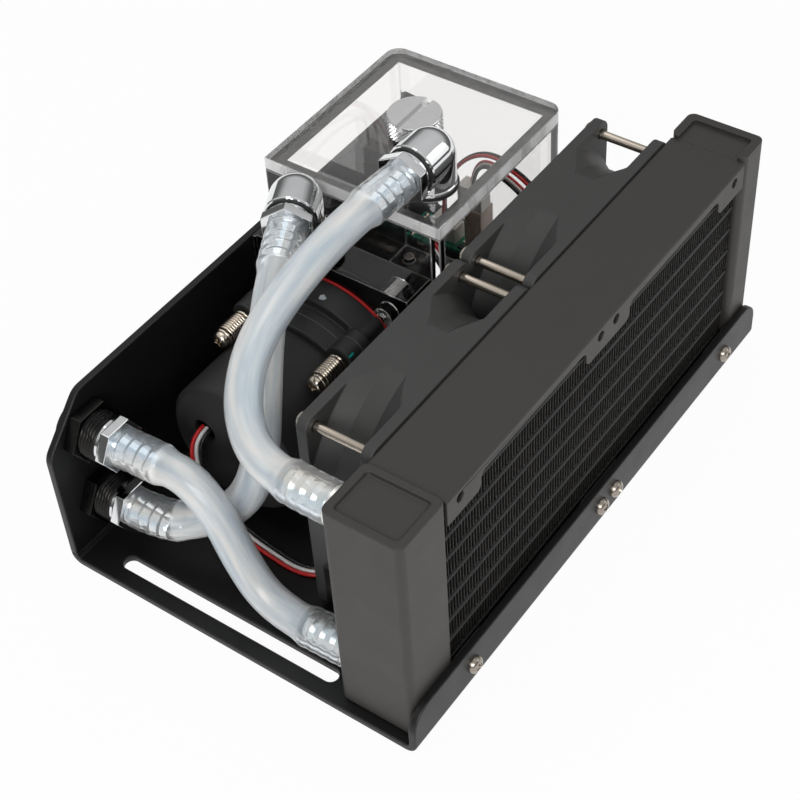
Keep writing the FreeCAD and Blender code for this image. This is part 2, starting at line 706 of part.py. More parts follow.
def fin_strip(row):
    """One folded strip between two tubes, as a zigzag ribbon drawn along X and carried through in Y."""
    height = number(FIN_HEIGHT)
    floor = number(CORE_FLOOR) + row * (height + number("tube_thick"))
    thick = number("fin_thick")
    folds = int(number("core_length") / number("fin_pitch")) * 2
    step = number("core_length") / folds
    start = number("core_left")
    depth = number("radiator_depth - 2 * core_inset - 2 * fin_inset")
    front = number("face + core_inset + fin_inset")
    slant = thick * math.hypot(step, height) / step
    lower = []
    upper = []
    for fold in range(folds + 1):
        level = floor + (height - slant if fold % 2 else 0)
        lower.append(Vector(start + fold * step, front, level))
        upper.append(Vector(start + fold * step, front, level + slant))
    points = lower + upper[::-1]
    face = Part.Face(Part.makePolygon(points + points[:1]))
    return face.extrude(Vector(0, depth, 0))


# Hose stubs shared by radiator, elbows and couplings

def barb(x, y, z, turn):
    """A ridged hose stub along the turned axis."""
    count = int(number("barb_ridges"))
    points = [("barb_bore", "0")]
    for index in range(count):
        base = "barb_length * %d / %d" % (index, count)
        crest = "barb_length * (%d + %g) / %d" % (index, CREST_SHARE, count)
        points += [("barb_root", base), ("barb_ridge", crest)]
    points += [("barb_root", "barb_length"), ("barb_bore", "barb_length")]
    return lathe("Barb", points, x, y, z, turn)


def hex_barb(x, y, z, turn):
    """A hexagon with a ridged stub, bored through, built at the origin and then turned into place."""
    collar = cylinder("barb_collar", "barb_collar_length", "0", "0", "0")
    head = hexagon("barb_hex", "barb_hex_length - barb_collar_length", "0", "0", "barb_collar_length")
    bore = cylinder("barb_bore", "barb_hex_length", "0", "0", "0")
    piece = fuse(cut(fuse(collar, head), bore), barb("0", "0", "barb_hex_length", UPRIGHT))
    return place(piece, x, y, z, turn)


# The fans

def fan_frame(label, centre):
    """A square frame whose duct flares to both faces and whose corners stand open between the plates."""
    body = new_body("FanFrame")
    half = "fan_size / 2"
    square = sketch_on(body, "XY_Plane")
    rectangle(square, "-" + half, "-" + half, half, half)
    pad(body, square, "fan_depth")
    dress(body, "Fillet", "fan_corner", lambda edge: runs_along(edge, 2))
    waist = sketch_on(body, "XZ_Plane")
    throat = "fan_radius + fan_wall"
    outline(waist, [("fan_size", "fan_flange"), ("fan_size", "fan_depth - fan_flange"),
                    (throat + " + flare_rise", "fan_depth - fan_flange"),
                    (throat, "fan_depth - fan_flange - fan_flare"), (throat, "fan_flange + fan_flare"),
                    (throat + " + flare_rise", "fan_flange")])
    revolve(body, waist, cutting=True)
    bore = sketch_on(body, "XY_Plane")
    circle(bore, "0", "0", "fan_radius")
    pocket(body, bore, back=True)
    holes = sketch_on(body, "XY_Plane")
    for x in ("-hole_half", "hole_half"):
        for y in ("-hole_half", "hole_half"):
            circle(holes, x, y, "screw_hole")
    pocket(body, holes, back=True)
    level = "fan_depth - motor_base"
    motor = cylinder("hub_radius", "motor_base", "0", "0", level)
    length = "fan_radius + fan_wall / 2 - hub_radius / 2"
    reach = "hub_radius / 2"
    side = "-strut_width / 2"
    struts = [box(length, "strut_width", "motor_base", reach, side, level),
              box(length, "strut_width", "motor_base", "-(%s) - (%s)" % (reach, length), side, level),
              box("strut_width", length, "motor_base", side, reach, level),
              box("strut_width", length, "motor_base", side, "-(%s) - (%s)" % (reach, length), level)]
    seat = cylinder("bearing_radius", "motor_base", "0", "0", level)
    frame = cut(fuse(body, motor, *struts), seat)
    return node(label, place(frame, centre, "radiator_back", "fan_z", TO_Y))


def fan_rotor(label, centre):
    """A hub with lofted blades, patterned round it and trimmed to the duct."""
    body = new_body("FanRotor")
    hub = sketch_on(body, "XZ_Plane")
    outline(hub, [("fan_shaft_radius", "rotor_inset"), ("hub_radius - hub_edge", "rotor_inset"),
                  ("hub_radius", "rotor_inset + hub_edge"), ("hub_radius", "rotor_end"),
                  ("fan_shaft_radius", "rotor_end")])
    revolve(body, hub)
    root = blade_section(body, "blade_start", "blade_root_half", "blade_root_rise")
    tip = blade_section(body, "fan_radius", "blade_tip_half", "blade_tip_rise")
    blade = body.newObject("PartDesign::AdditiveLoft", "Blade")
    blade.Profile = root
    blade.Sections = [tip]
    doc.recompute()
    ring_of_blades = body.newObject("PartDesign::PolarPattern", "Blades")
    ring_of_blades.Originals = [blade]
    ring_of_blades.Axis = (origin_part(body, "Z_Axis"), [""])
    ring_of_blades.Angle = 360
    bind(ring_of_blades, Occurrences="blade_count")
    body.Tip = ring_of_blades
    trim = sketch_on(body, "XZ_Plane")
    rectangle(trim, "fan_radius - tip_gap", "-fan_depth", "fan_size", "2 * fan_depth")
    revolve(body, trim, cutting=True)
    return node(label, place(body, centre, "radiator_back", "fan_z", TO_Y))


def blade_section(body, offset, half, rise):
    """A thin bowed section across the airflow, slanting from the rotor's front to its rear."""
    sketch = sketch_on(body, "YZ_Plane", offset)
    middle = "(rotor_inset + rotor_end) / 2"
    low = "%s - %s" % (middle, rise)
    high = "%s + %s" % (middle, rise)
    bow = middle + " - blade_bow"
    outline(sketch, [("-" + half, low), ("blade_bow", bow), (half, high), (half + " - blade_thick", high),
                     ("blade_bow - blade_thick", bow + " + blade_thick / 2"),
                     ("-" + half, low + " + blade_thick")])
    return sketch


def make_fans():
    for word in ("near", "far"):
        centre = "fan_%s_x" % word
        fan_frame("fan_frame_" + word, centre)
        fan_rotor("fan_rotor_" + word, centre)
        shaft = cylinder("fan_shaft_radius", "fan_depth - rotor_inset - shaft_inset", centre,
                         "radiator_back + rotor_inset + shaft_inset", "fan_z", TO_Y)
        node("fan_shaft_" + word, shaft)
        bearing = ring("Bearing", "fan_shaft_radius + running_gap", "bearing_radius", "motor_base",
                       centre, "fan_back - motor_base", "fan_z", TO_Y)
        node("fan_bearing_" + word, bearing)
    length = "fan_depth + plate_thick + screw_grip"
    screws = [screw("head_radius", "head_height", "screw_radius", length, x, "fan_back", row, TO_MINUS_Y)
              for x in fan_hole_places() for row in ("upper_row", "lower_row")]
    node("fan_screws", group(*screws))


# The pump

def pump_turned(label, points):
    """A body turned about the pump's axis; lengths run from the gasket face towards the can's end."""
    return node(label, lathe("PumpPiece", points, "gasket_left", "pump_y", "pump_z", TO_MINUS_X))


def ear_offsets():
    return [(across + "ear_side", up + "ear_rise") for across in "-+" for up in "-+"]


def ear_places():
    return [("pump_y " + across, "pump_z " + up) for across, up in ear_offsets()]


def make_pump():
    make_pump_housing()
    make_pump_flange()
    springs = []
    screws = []
    inserts = []
    holes = []
    for y, z in ear_places():
        springs.append(ring("Spring", "spring_radius - spring_wire", "spring_radius", "spring_length",
                            "spring_left", y, z, TO_X))
        screws.append(screw("head_radius", "head_height", "screw_radius",
                            "spring_length + ear_length + gasket_thick + block_thick",
                            "spring_left", y, z, TO_X))
        inserts.append(ring("Insert", "screw_radius", "insert_radius", "insert_length",
                            "reservoir_x - insert_length", y, z, TO_X))
        holes.append(cylinder("screw_hole", "gasket_thick", "gasket_left", y, z, TO_X))
    gasket = ring("Gasket", "gasket_inner", "flange_radius", "gasket_thick",
                  "gasket_left", "pump_y", "pump_z", TO_X)
    node("pump_gasket", cut(gasket, *holes))
    node("pump_springs", group(*springs))
    node("spring_screws", group(*screws))
    node("insert_nuts", group(*inserts))
    make_pump_inside()
    make_pump_block()


def make_pump_housing():
    """A deep-drawn can with a brim at its mouth and a lead hole in its end."""
    profile = [("brim_radius", "separator_brim"), ("brim_radius", "brim_end"), ("pump_radius", "brim_end"),
               ("pump_radius", "pump_length - pump_edge"), ("pump_radius - pump_edge", "pump_length"),
               ("0", "pump_length"), ("0", "pump_length - can_wall"),
               ("pump_inside", "pump_length - can_wall"), ("pump_inside", "separator_brim")]
    body = lathe("PumpCan", profile)
    hole = cylinder("lead_hole_radius", "can_wall * 3", "lead_hole_rise", "lead_hole_offset",
                    "pump_length - can_wall * 2")
    node("pump_housing", place(cut(body, hole), "gasket_left", "pump_y", "pump_z", TO_MINUS_X))


def make_pump_flange():
    """The clamp ring: it holds the can's brim, and four ears along its collar carry the sprung screws."""
    recess = "brim_radius + fit_gap"
    body = lathe("ClampRing", [(recess, "0"), ("flange_radius", "0"), ("flange_radius", "flange_thick"),
                               ("collar_radius", "flange_thick"), ("collar_radius", "ear_length"),
                               ("pump_seat", "ear_length"), ("pump_seat", "brim_end"), (recess, "brim_end")])
    ears = []
    holes = []
    for across, up in ear_offsets():
        ears.append(cylinder("ear_tail", "flange_thick", up, across, "0"))
        ears.append(cylinder("ear_radius", "ear_length - flange_thick", up, across, "flange_thick"))
        holes.append(cylinder("screw_hole", "ear_length", up, across, "0"))
    can_room = cylinder("pump_seat", "ear_length", "0", "0", "0")
    brim_room = cylinder(recess, "brim_end", "0", "0", "0")
    flange = cut(fuse(body, *ears), can_room, brim_room, *holes)
    node("pump_flange", place(flange, "gasket_left", "pump_y", "pump_z", TO_MINUS_X))


def make_pump_inside():
    outer = "pump_inside - stator_gap"
    inner = "can_radius + stator_gap"
    back = "separator_length - stator_inset"
    front = "separator_length - stator_inset - stator_length"
    pump_turned("pump_stator", [(inner, front), (outer, front), (outer, back), (inner, back)])
    bore = "can_radius - separator_wall"
    floor = "separator_length - separator_wall"
    pump_turned("pump_can", [(bore, "0"), ("brim_radius", "0"), ("brim_radius", "separator_brim"),
                             ("can_radius", "separator_brim"), ("can_radius", "separator_length"),
                             ("0", "separator_length"), ("0", floor), (bore, floor)])
    node("pump_shaft", cylinder("pump_shaft_radius", "separator_length - separator_wall + vane_height",
                                "gasket_left + vane_height", "pump_y", "pump_z", TO_MINUS_X))
    make_impeller()


def make_impeller():
    """Magnet, back plate and vanes on one bushing that runs on the fixed shaft."""
    bore = "pump_shaft_radius + running_gap"
    magnet = "can_radius - separator_wall - magnet_gap"
    plate = "magnet_length + gasket_thick + impeller_gap"
    crown = plate + " + impeller_plate"
    hub = lathe("ImpellerHub", [(bore, "0"), (magnet, "0"), (magnet, "magnet_length"),
                                ("impeller_hub", "magnet_length"), ("impeller_hub", plate),
                                ("impeller_radius", plate), ("impeller_radius", crown), (bore, crown)])
    vanes = [impeller_vane(index, crown) for index in range(int(number("vane_count")))]
    trim = cylinder("impeller_radius", "vane_height", "0", "0", crown)
    start = "gasket_left - magnet_length"
    node("pump_impeller", place(fuse(hub, common(fuse(*vanes), trim)), start, "pump_y", "pump_z", TO_X))


def impeller_vane(index, level):
    """A flat vane from the hub's edge outwards, swept back from the radius."""
    share = 360.0 * index / number("vane_count")
    start = Rotation(Vector(0, 0, 1), share).multVec(Vector(1, 0, 0))
    vane = box("impeller_radius", "vane_thick", "vane_height", "0", "0", "0")
    lean = Rotation(Vector(0, 0, 1), share + number("vane_lean"))
    return place(vane, "impeller_hub * %.9f" % start.x, "impeller_hub * %.9f" % start.y, level, lean)


def make_pump_block():
    """The clear block: chamber towards the pump, eye towards the reservoir, outlet up to its boss."""
    body = new_body("PumpBlock")
    side = sketch_on(body, "YZ_Plane", "block_left")
    rectangle(side, "pump_y - block_width / 2", "deck", "pump_y + block_width / 2", "deck + block_height")
    pad(body, side, "block_thick")
    boss = box("2 * boss_half", "2 * boss_half", "boss_height - boss_foot",
               "outlet_x - boss_half", "outlet_y - boss_half", "deck + boss_foot")
    chamber = cylinder("chamber_radius", "chamber_depth", "block_left", "pump_y", "pump_z", TO_X)
    eye = cylinder("eye_radius", "block_thick", "block_left", "pump_y", "pump_z", TO_X)
    outlet_line = "block_left + chamber_depth / 2"
    rise = cylinder("outlet_radius", "boss_top - pump_z", outlet_line, "outlet_y", "pump_z")
    port = cylinder("elbow_thread + screw_gap", "elbow_grip + port_spare", "outlet_x", "outlet_y",
                    "boss_top - elbow_grip - port_spare")
    holes = []
    for y, z in ear_places():
        holes.append(cylinder("screw_hole", "block_thick", "block_left", y, z, TO_X))
        holes.append(cylinder("insert_radius", "insert_length", "reservoir_x - insert_length", y, z, TO_X))
    node("pump_top", cut(fuse(body, boss), chamber, eye, rise, port, *holes))


# The reservoir

def make_reservoir():
    body = new_body("ReservoirBox")
    plan = sketch_on(body, "XY_Plane", "deck")
    rectangle(plan, "reservoir_x", "reservoir_front", "reservoir_right", "reservoir_back")
    pad(body, plan, "reservoir_height")
    far_edges(body, "reservoir_round")
    dress(body, "Chamfer", "bend_inside", is_back_foot)
    hollow = sketch_on(body, "XY_Plane", "reservoir_top")
    rectangle(hollow, "reservoir_x + reservoir_wall", "reservoir_front + reservoir_wall",
              "reservoir_right - reservoir_wall", "reservoir_back - reservoir_wall")
    pocket(body, hollow, "reservoir_height - reservoir_wall")
    eye = cylinder("eye_radius", "reservoir_wall", "reservoir_x", "pump_y", "pump_z", TO_X)
    holes = [cylinder("tank_screw_radius", "tank_screw_grip", x, y, "deck") for x, y in tank_screw_places()]
    node("reservoir_tank", cut(body, eye, *holes))
    lid = new_body("ReservoirLid")
    plan = sketch_on(lid, "XY_Plane", "reservoir_top")
    rectangle(plan, "reservoir_x", "reservoir_front", "reservoir_right", "reservoir_back")
    pad(lid, plan, "lid_thick")
    far_edges(lid, "reservoir_round")
    ports = sketch_on(lid, "XY_Plane", "lid_top")
    circle(ports, "lid_elbow_x", "lid_elbow_y", "elbow_thread + screw_gap")
    circle(ports, "lid_mid_x", "lid_mid_y", "plug_stem + running_gap")
    pocket(lid, ports)
    node("reservoir_lid", lid)
    make_plug()


def is_back_foot(edge):
    """The reservoir's lower rear edge, which stands in the tray's bend."""
    middle = edge.CenterOfMass
    return runs_along(edge, 0) and middle.z < number("deck") + NEAR and middle.y > number("lid_mid_y")


def far_edges(body, size):
    middle = number("lid_mid_x")
    dress(body, "Fillet", size, lambda edge: runs_along(edge, 2) and edge.CenterOfMass.x > middle)


def make_plug():
    """A slotted plug on a flat seal; a knurled rim stands on the seal's width."""
    head = lathe("PlugHead", [("0", "-plug_reach"), ("plug_stem", "-plug_reach"), ("plug_stem", "0"),
                              ("plug_radius", "0"), ("plug_radius", "plug_height - plug_edge"),
                              ("plug_radius - plug_edge", "plug_height"), ("0", "plug_height")])
    slot = box("3 * plug_radius", "plug_slot", "2 * plug_slot_depth", "-1.5 * plug_radius", "-plug_slot / 2",
               "plug_height - plug_slot_depth")
    plug = cut(head, slot)
    node("fill_plug", place(plug, "lid_mid_x", "lid_mid_y", "lid_top + seal_thick + running_gap"))
    node("plug_seal", ring("PlugSeal", "plug_stem + running_gap", "plug_stem + seal_width", "seal_thick",
                           "lid_mid_x", "lid_mid_y", "lid_top + running_gap / 2"))


# Elbows and couplings

def elbow(label, x, y, z, turn_z):
    """A ball-cornered elbow: foot and thread below, arm along its own X."""
    foot = cylinder("elbow_flange", "elbow_foot", "0", "0", "0")
    thread = cylinder("elbow_thread", "elbow_grip + elbow_foot", "0", "0", "-elbow_grip")
    column = cylinder("elbow_column", "elbow_rise", "0", "0", "0")
    ball = doc.addObject("Part::Sphere", "Ball")
    bind(ball, Radius="elbow_ball")
    place(ball, "0", "0", "elbow_rise")
    arm = cylinder("elbow_arm", "elbow_reach", "0", "0", "elbow_rise", TO_X)
    down = cylinder("elbow_bore", "elbow_grip + elbow_rise", "0", "0", "-elbow_grip")
    out = cylinder("elbow_bore", "elbow_reach", "0", "0", "elbow_rise", TO_X)
    piece = cut(fuse(foot, thread, column, ball, arm), down, out)
    return node(label, place(piece, x, y, z, Rotation(Vector(0, 0, 1), turn_z)))


def make_elbows():
    spots = (("lid", "lid_elbow_x", "lid_elbow_y", "lid_top", 180.0),
             ("outlet", "outlet_x", "outlet_y", "boss_top", 180.0 + number("outlet_turn")))
    seals = []
    for word, x, y, foot, turn_z in spots:
        lift = foot + " + seal_thick"
        elbow(word + "_elbow", x, y, lift, turn_z)
        seals.append(ring("FootSeal", "elbow_thread + screw_gap", "elbow_flange - seal_inset",
                          "seal_thick", x, y, foot))
        turn = Rotation(Vector(0, 0, 1), turn_z) * TO_X
        across = math.cos(math.radians(turn_z))
        along = math.sin(math.radians(turn_z))

        def out(axis, share, distance):
            return "%s + (%s) * %.9f" % (axis, distance, share)

        axis_z = lift + " + elbow_rise"
        seals.append(ring("ArmSeal", "elbow_bore", "elbow_arm - seal_inset", "seal_thick",
                          out(x, across, "elbow_reach"), out(y, along, "elbow_reach"), axis_z, turn))
        node(word + "_barb", hex_barb(out(x, across, "elbow_reach + seal_thick"),
                                      out(y, along, "elbow_reach + seal_thick"), axis_z, turn))
    node("elbow_seals", group(*seals))


def make_bulkheads():
    nuts = []
    barbs = []
    seals = []
    for word in ("upper", "lower"):
        z = "deck + bulkhead_%s_z" % word
        length = "port_flange + sheet_thick + bulkhead_reach"
        shoulder = "port_flange - seal_thick"
        points = [("port_radius", "0"), ("bulkhead_flange", "0"), ("bulkhead_flange", shoulder),
                  ("bulkhead_radius", shoulder), ("bulkhead_radius", length),
                  ("barb_bore", length), ("barb_bore", "port_depth"), ("port_radius", "port_depth")]
        coupling = lathe("Bulkhead", points, "bulkhead_x", "wall_outer + port_flange", z, TO_MINUS_Y)
        node("bulkhead_" + word, coupling)
        seals.append(ring("WallSeal", "bulkhead_radius + screw_gap", "bulkhead_flange - seal_inset",
                          "seal_thick", "bulkhead_x", "wall_outer", z, TO_Y))
        blank = hexagon("nut_flats", "nut_thick", "0", "0", "0")
        nut = cut(blank, cylinder("bulkhead_radius", "nut_thick", "0", "0", "0"))
        nuts.append(place(nut, "bulkhead_x", "wall_inner", z, TO_MINUS_Y))
        barbs.append(hex_barb("bulkhead_x", "bulkhead_end", z, TO_MINUS_Y))
    node("bulkhead_nuts", group(*nuts))
    node("bulkhead_barbs", group(*barbs))
    node("bulkhead_seals", group(*seals))


# Control board

def make_board():
    board = box("board_length", "board_width", "board_thick", "board_left", "board_front", "board_base")
    node("control_board", board)
    middle = "board_left + board_length / 2"
    posts = [cylinder("standoff_radius", "board_foot", middle, y, "deck")
             for y in ("board_front + standoff_inset", "board_front + board_width - standoff_inset")]
    node("board_standoffs", group(*posts))
    front = "board_front + tower_inset"
    node("board_block", box("tower_length", "tower_width", "tower_rise", "board_left + tower_inset",
                            front, "board_top"))
    plugs = [box("connector_length", "connector_width", "connector_width", "board_left + connector_inset",
                 y, z) for y, z in ((front, "tower_top"), (front + " + connector_step", "board_top"))]
    node("board_connectors", group(*plugs))


# Hoses and leads: straight runs joined by the largest arcs that the runs allow

def smooth_path(points):
    """Edges of the route and its tightest radius."""
    edges = []
    radii = []
    last = points[0]
    for before, corner, after in zip(points, points[1:], points[2:]):
        back = before - corner
        ahead = after - corner
        shorter = min(back.Length, ahead.Length)
        back.normalize()
        ahead.normalize()
        turn = math.pi - back.getAngle(ahead)
        reach = ARC_SHARE * shorter
        radius = reach / math.tan(turn / 2)
        radii.append(radius)
        start = corner + back * reach
        end = corner + ahead * reach
        bisector = (back + ahead).normalize()
        middle = corner + bisector * (radius / math.cos(turn / 2) - radius)
        edges.append(Part.LineSegment(last, start).toShape())
        edges.append(Part.Arc(start, middle, end).toShape())
        last = end
    edges.append(Part.LineSegment(last, points[-1]).toShape())
    return edges, radii


def sweep(edges, radius):
    path = Part.Wire(edges)
    start = path.Edges[0]
    heading = start.tangentAt(start.FirstParameter)
    section = Part.Wire([Part.makeCircle(radius, start.Vertexes[0].Point, heading)])
    return path.makePipeShell([section], True, True)


def make_route(label, points, outer, inner=0.0):
    edges, radii = smooth_path(points)
    length = sum(edge.Length for edge in edges)
    shape = sweep(edges, outer)
    if inner:
        shape = shape.cut(sweep(edges, inner))
    expected = math.pi * (outer ** 2 - inner ** 2) * length
    print("%s: length %.1f, radii %s, volume %.4f of section times length"
          % (label, length, " ".join("%.1f" % radius for radius in radii), shape.Volume / expected))
    item = doc.addObject("Part::Feature", "Route")
    item.Shape = shape
    return node(label, item)


def point(x, y, z):
    return Vector(number(x), number(y), number(z))


def make_hoses():
    outer = number("hose_outer")
    inner = number("hose_inner")
    coupling_face = "bulkhead_end - barb_hex_length"
    stub_face = "radiator_back + stub_collar_length"
    upper = point("bulkhead_x", coupling_face, "deck + bulkhead_upper_z")
    lower = point("bulkhead_x", coupling_face, "deck + bulkhead_lower_z")
    arm = "elbow_reach + seal_thick + barb_hex_length"
    lid_arm = point("lid_elbow_x - (%s)" % arm, "lid_elbow_y", "lid_top + seal_thick + elbow_rise")
    heading = math.radians(180 + number("outlet_turn"))
    outlet_arm = point("outlet_x", "outlet_y", "boss_top + seal_thick + elbow_rise")
    outlet_arm += Vector(math.cos(heading), math.sin(heading), 0) * number(arm)
    stub_upper = point("stub_x", stub_face, "deck + stub_upper")
    stub_lower = point("stub_x", stub_face, "deck + stub_lower")
    make_route("hose_return", between(
        upper, [(0, -13.45, 1.05), (-0.1, -26.25, 1.65), (-0.6, -35.75, -7.85)],
        stub_lower, [(1.2, 40.75, 13.15), (0.6, 32.75, 1.65), (0.1, 20.75, -1.35), (0, 10.25, -0.35)]),
        outer, inner)
    make_route("hose_supply", between(
        outlet_arm, [(-12.03, -6.34, -0.1), (-25.03, -12.74, -3.1), (-36.03, -18.44, -10.6),
                     (-46.03, -24.44, -21.6), (-52.03, -26.94, -33.6)],
        lower, [(14, -37.75, 20.65), (11, -32.75, 10.65), (6.5, -24.45, 3.65), (0.5, -13.65, 0.45)]),
        outer, inner)
    make_route("hose_feed", between(
        stub_upper, [(0, 11.75, -0.15), (1.2, 23.75, -0.55), (6.5, 34.75, -0.25), (15, 43.25, 3.75),
                     (26.5, 48.05, 10.25)],
        lid_arm, [(-55.7, 4.05, -8.4), (-38.7, 3.05, -2.9), (-18.7, 1.25, 0.8)]), outer, inner)


def between(start, leaving, end, arriving):
    """Route points from one end to the other: steps from the start, then steps from the end."""
    points = [start]
    points += [start + Vector(*step) for step in leaving]
    points += [end + Vector(*step) for step in arriving]
    return points + [end]


def beside(points, distance):
    """The same route moved level, to the left of its heading."""
    moved = []
    for index, spot in enumerate(points):
        before = points[max(index - 1, 0)]
        after = points[min(index + 1, len(points) - 1)]
        heading = after - before
        if math.hypot(heading.x, heading.y) > 0:
            side = Vector(-heading.y, heading.x, 0).normalize()
        moved.append(spot + side * distance)
    return moved


def lay_wires(stem, colours, route):
    """Wires of these colours side by side along one route."""
    middle = [point(*spot) for spot in route]
    for step, colour in enumerate(colours):
        offset = step * number("2 * wire_radius + wire_gap")
        make_route(stem + colour, beside(middle, offset), number("wire_radius"))


def make_leads():
    pump_route = [
        ("can_end + 1.5", "lead_y + 1.55", "lead_z + 0.15"),
        ("can_end - 3", "lead_y + 1.55", "lead_z - 0.25"),
        ("can_end - 6.2", "lead_y + 1.15", "lead_z - 5.35"),
        ("can_end - 7.3", "lead_y - 1", "deck + 18"),
        ("can_end - 7.8", "lead_y - 7", "deck + 8"),
        ("can_end - 8.3", "lead_y - 16", "lead_floor + 0.95"),
        ("can_end - 9.6", "fan_back + 24.75", "lead_floor"),
        ("can_end - 10.5", "fan_back + 12.75", "lead_floor"),
        ("can_end - 6", "fan_back + 4.25", "lead_floor"),
        ("can_end + 5", "fan_back + 1.75", "lead_floor"),
        ("gasket_left - 19.5", "fan_back + 2.35", "lead_floor"),
        ("reservoir_x + 13", "fan_back + 1.75", "lead_floor"),
        ("reservoir_right - 18", "fan_back + 2.35", "lead_floor"),
        ("reservoir_right + 2", "fan_back + 4.75", "lead_floor + 0.55"),
        ("reservoir_right + 13", "fan_back + 12.75", "board_base + 4"),
        ("reservoir_right + 16", "board_front - 22", "board_base + 17"),
        ("reservoir_right + 15", "board_front - 9", "tower_top + 9"),
        ("reservoir_right + 12.5", "board_front", "tower_top + 16"),
        ("reservoir_right + 9.6", "board_front + 4.2", "tower_top + 14"),
        ("reservoir_right + 9", "board_front + 5", "tower_top + connector_width")]
    lay_wires("pump_lead_", ("red", "white", "black"), pump_route)
    board_route = [
        ("reservoir_right + 6.9", "board_front + 16.5", "board_top + connector_width"),
        ("reservoir_right + 6.9", "board_front + 16.3", "board_top + 13.4"),
        ("reservoir_right + 7.6", "board_front + 14.8", "tower_top + 4"),
        ("reservoir_right + 9", "board_front + 10", "tower_top + 13"),
        ("reservoir_right + 10.2", "board_front + 2.5", "tower_top + 19"),
        ("reservoir_right + 10.8", "board_front - 6", "tower_top + 19.5"),
        ("reservoir_right + 11", "board_front - 15.5", "tower_top + 14"),
        ("reservoir_right + 10.5", "board_front - 24.5", "tower_top + 5.5"),
        ("reservoir_right + 9", "fan_back + 12.25", "board_top + 15.4"),
        ("reservoir_right + 6.5", "fan_back + 8.25", "board_top + 6.9"),
        ("reservoir_right + 2", "fan_back + 6.15", "board_top + 1.9"),
        ("fan_far_x + 30.65", "fan_back + 3.15", "lower_row - 1.85"),
        ("fan_far_x + 30.65", "fan_back", "lower_row - 1.85")]
    lay_wires("board_lead_", ("red", "black"), board_route)


def check_and_write():
    doc.recompute()
    for item in doc.Objects:
        if "Invalid" in item.State or "Error" in item.State:
            raise RuntimeError("%s did not build" % item.Label)
    os.makedirs("parts", exist_ok=True)
    for item in nodes:
        if item.Shape.isNull() or not item.Shape.isValid():
            raise RuntimeError("%s has no valid shape" % item.Label)
    for item in nodes:
        item.Shape.exportStep("parts/%s.step" % item.Label)
    print("%d nodes written" % len(nodes))


make_tray()
make_tray_screws()
make_radiator()
make_fans()
make_pump()
make_reservoir()
make_elbows()
make_bulkheads()
make_board()
make_hoses()
make_leads()
check_and_write()
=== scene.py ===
"""Looks of the cooling unit: materials for its solids, hoses, wires, and detail that the solids leave out."""
import json
import math

import bmesh
import bpy
from mathutils import Matrix, Vector


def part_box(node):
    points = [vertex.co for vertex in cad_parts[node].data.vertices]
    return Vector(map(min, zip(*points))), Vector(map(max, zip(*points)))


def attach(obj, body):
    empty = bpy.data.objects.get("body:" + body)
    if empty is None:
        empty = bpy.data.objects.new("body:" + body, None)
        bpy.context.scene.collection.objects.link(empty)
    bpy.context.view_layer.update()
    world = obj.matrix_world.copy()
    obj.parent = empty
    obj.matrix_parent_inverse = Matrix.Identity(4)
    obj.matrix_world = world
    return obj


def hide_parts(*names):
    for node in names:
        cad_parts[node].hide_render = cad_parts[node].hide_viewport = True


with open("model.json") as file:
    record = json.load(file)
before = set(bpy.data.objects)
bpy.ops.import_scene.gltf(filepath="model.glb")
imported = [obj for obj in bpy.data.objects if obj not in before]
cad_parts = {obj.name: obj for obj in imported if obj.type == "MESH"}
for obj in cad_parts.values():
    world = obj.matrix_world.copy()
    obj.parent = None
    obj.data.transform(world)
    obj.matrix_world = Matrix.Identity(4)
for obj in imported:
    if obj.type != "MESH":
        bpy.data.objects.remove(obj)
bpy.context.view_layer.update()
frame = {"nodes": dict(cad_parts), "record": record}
nodes = frame["nodes"]
MM = 0.001
X, Y, Z = Vector((1, 0, 0)), Vector((0, 1, 0)), Vector((0, 0, 1))


# Places that the frame gives, in millimetres

def corners_of(node):
    """The low and the high corner of a node's box."""
    return [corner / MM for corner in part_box(node)]


def middle_of(node):
    low, high = corners_of(node)
    return (low + high) / 2


FAN_SCREW_SPAN = 71.5
FAN_MIDDLES = [middle_of("fan_frame_near"), middle_of("fan_frame_far")]
FAN_XS = [spot.x + side * FAN_SCREW_SPAN / 2 for spot in FAN_MIDDLES for side in (-1, 1)]
FAN_ROWS = [FAN_MIDDLES[0].z + side * FAN_SCREW_SPAN / 2 for side in (-1, 1)]
FAN_BACK = corners_of("fan_frame_near")[1].y
LIP_FACE = corners_of("tray")[0].y
PUMP_AXIS = (middle_of("pump_housing").y, middle_of("pump_housing").z)
EAR_REACH = (18.3, 20.9)
EARS = [(PUMP_AXIS[0] + side * EAR_REACH[0], PUMP_AXIS[1] + rise * EAR_REACH[1])
        for side in (-1, 1) for rise in (-1, 1)]
SPRING_LEFT, SPRING_RIGHT = (corner.x for corner in corners_of("pump_springs"))
INSERT_LEFT = corners_of("insert_nuts")[0].x
TANK_MIDDLE = middle_of("reservoir_tank")
TANK_TOP = corners_of("reservoir_tank")[1].z
TANK_SCREW_REACH = (26.5, 24.1)
TANK_SCREWS = [(TANK_MIDDLE.x + side * TANK_SCREW_REACH[0], TANK_MIDDLE.y + way * TANK_SCREW_REACH[1])
               for side in (-1, 1) for way in (-1, 1)]
COUPLING_X = middle_of("bulkhead_barbs").x


# Materials

NOISE_RANGE = (0.3, 0.7)


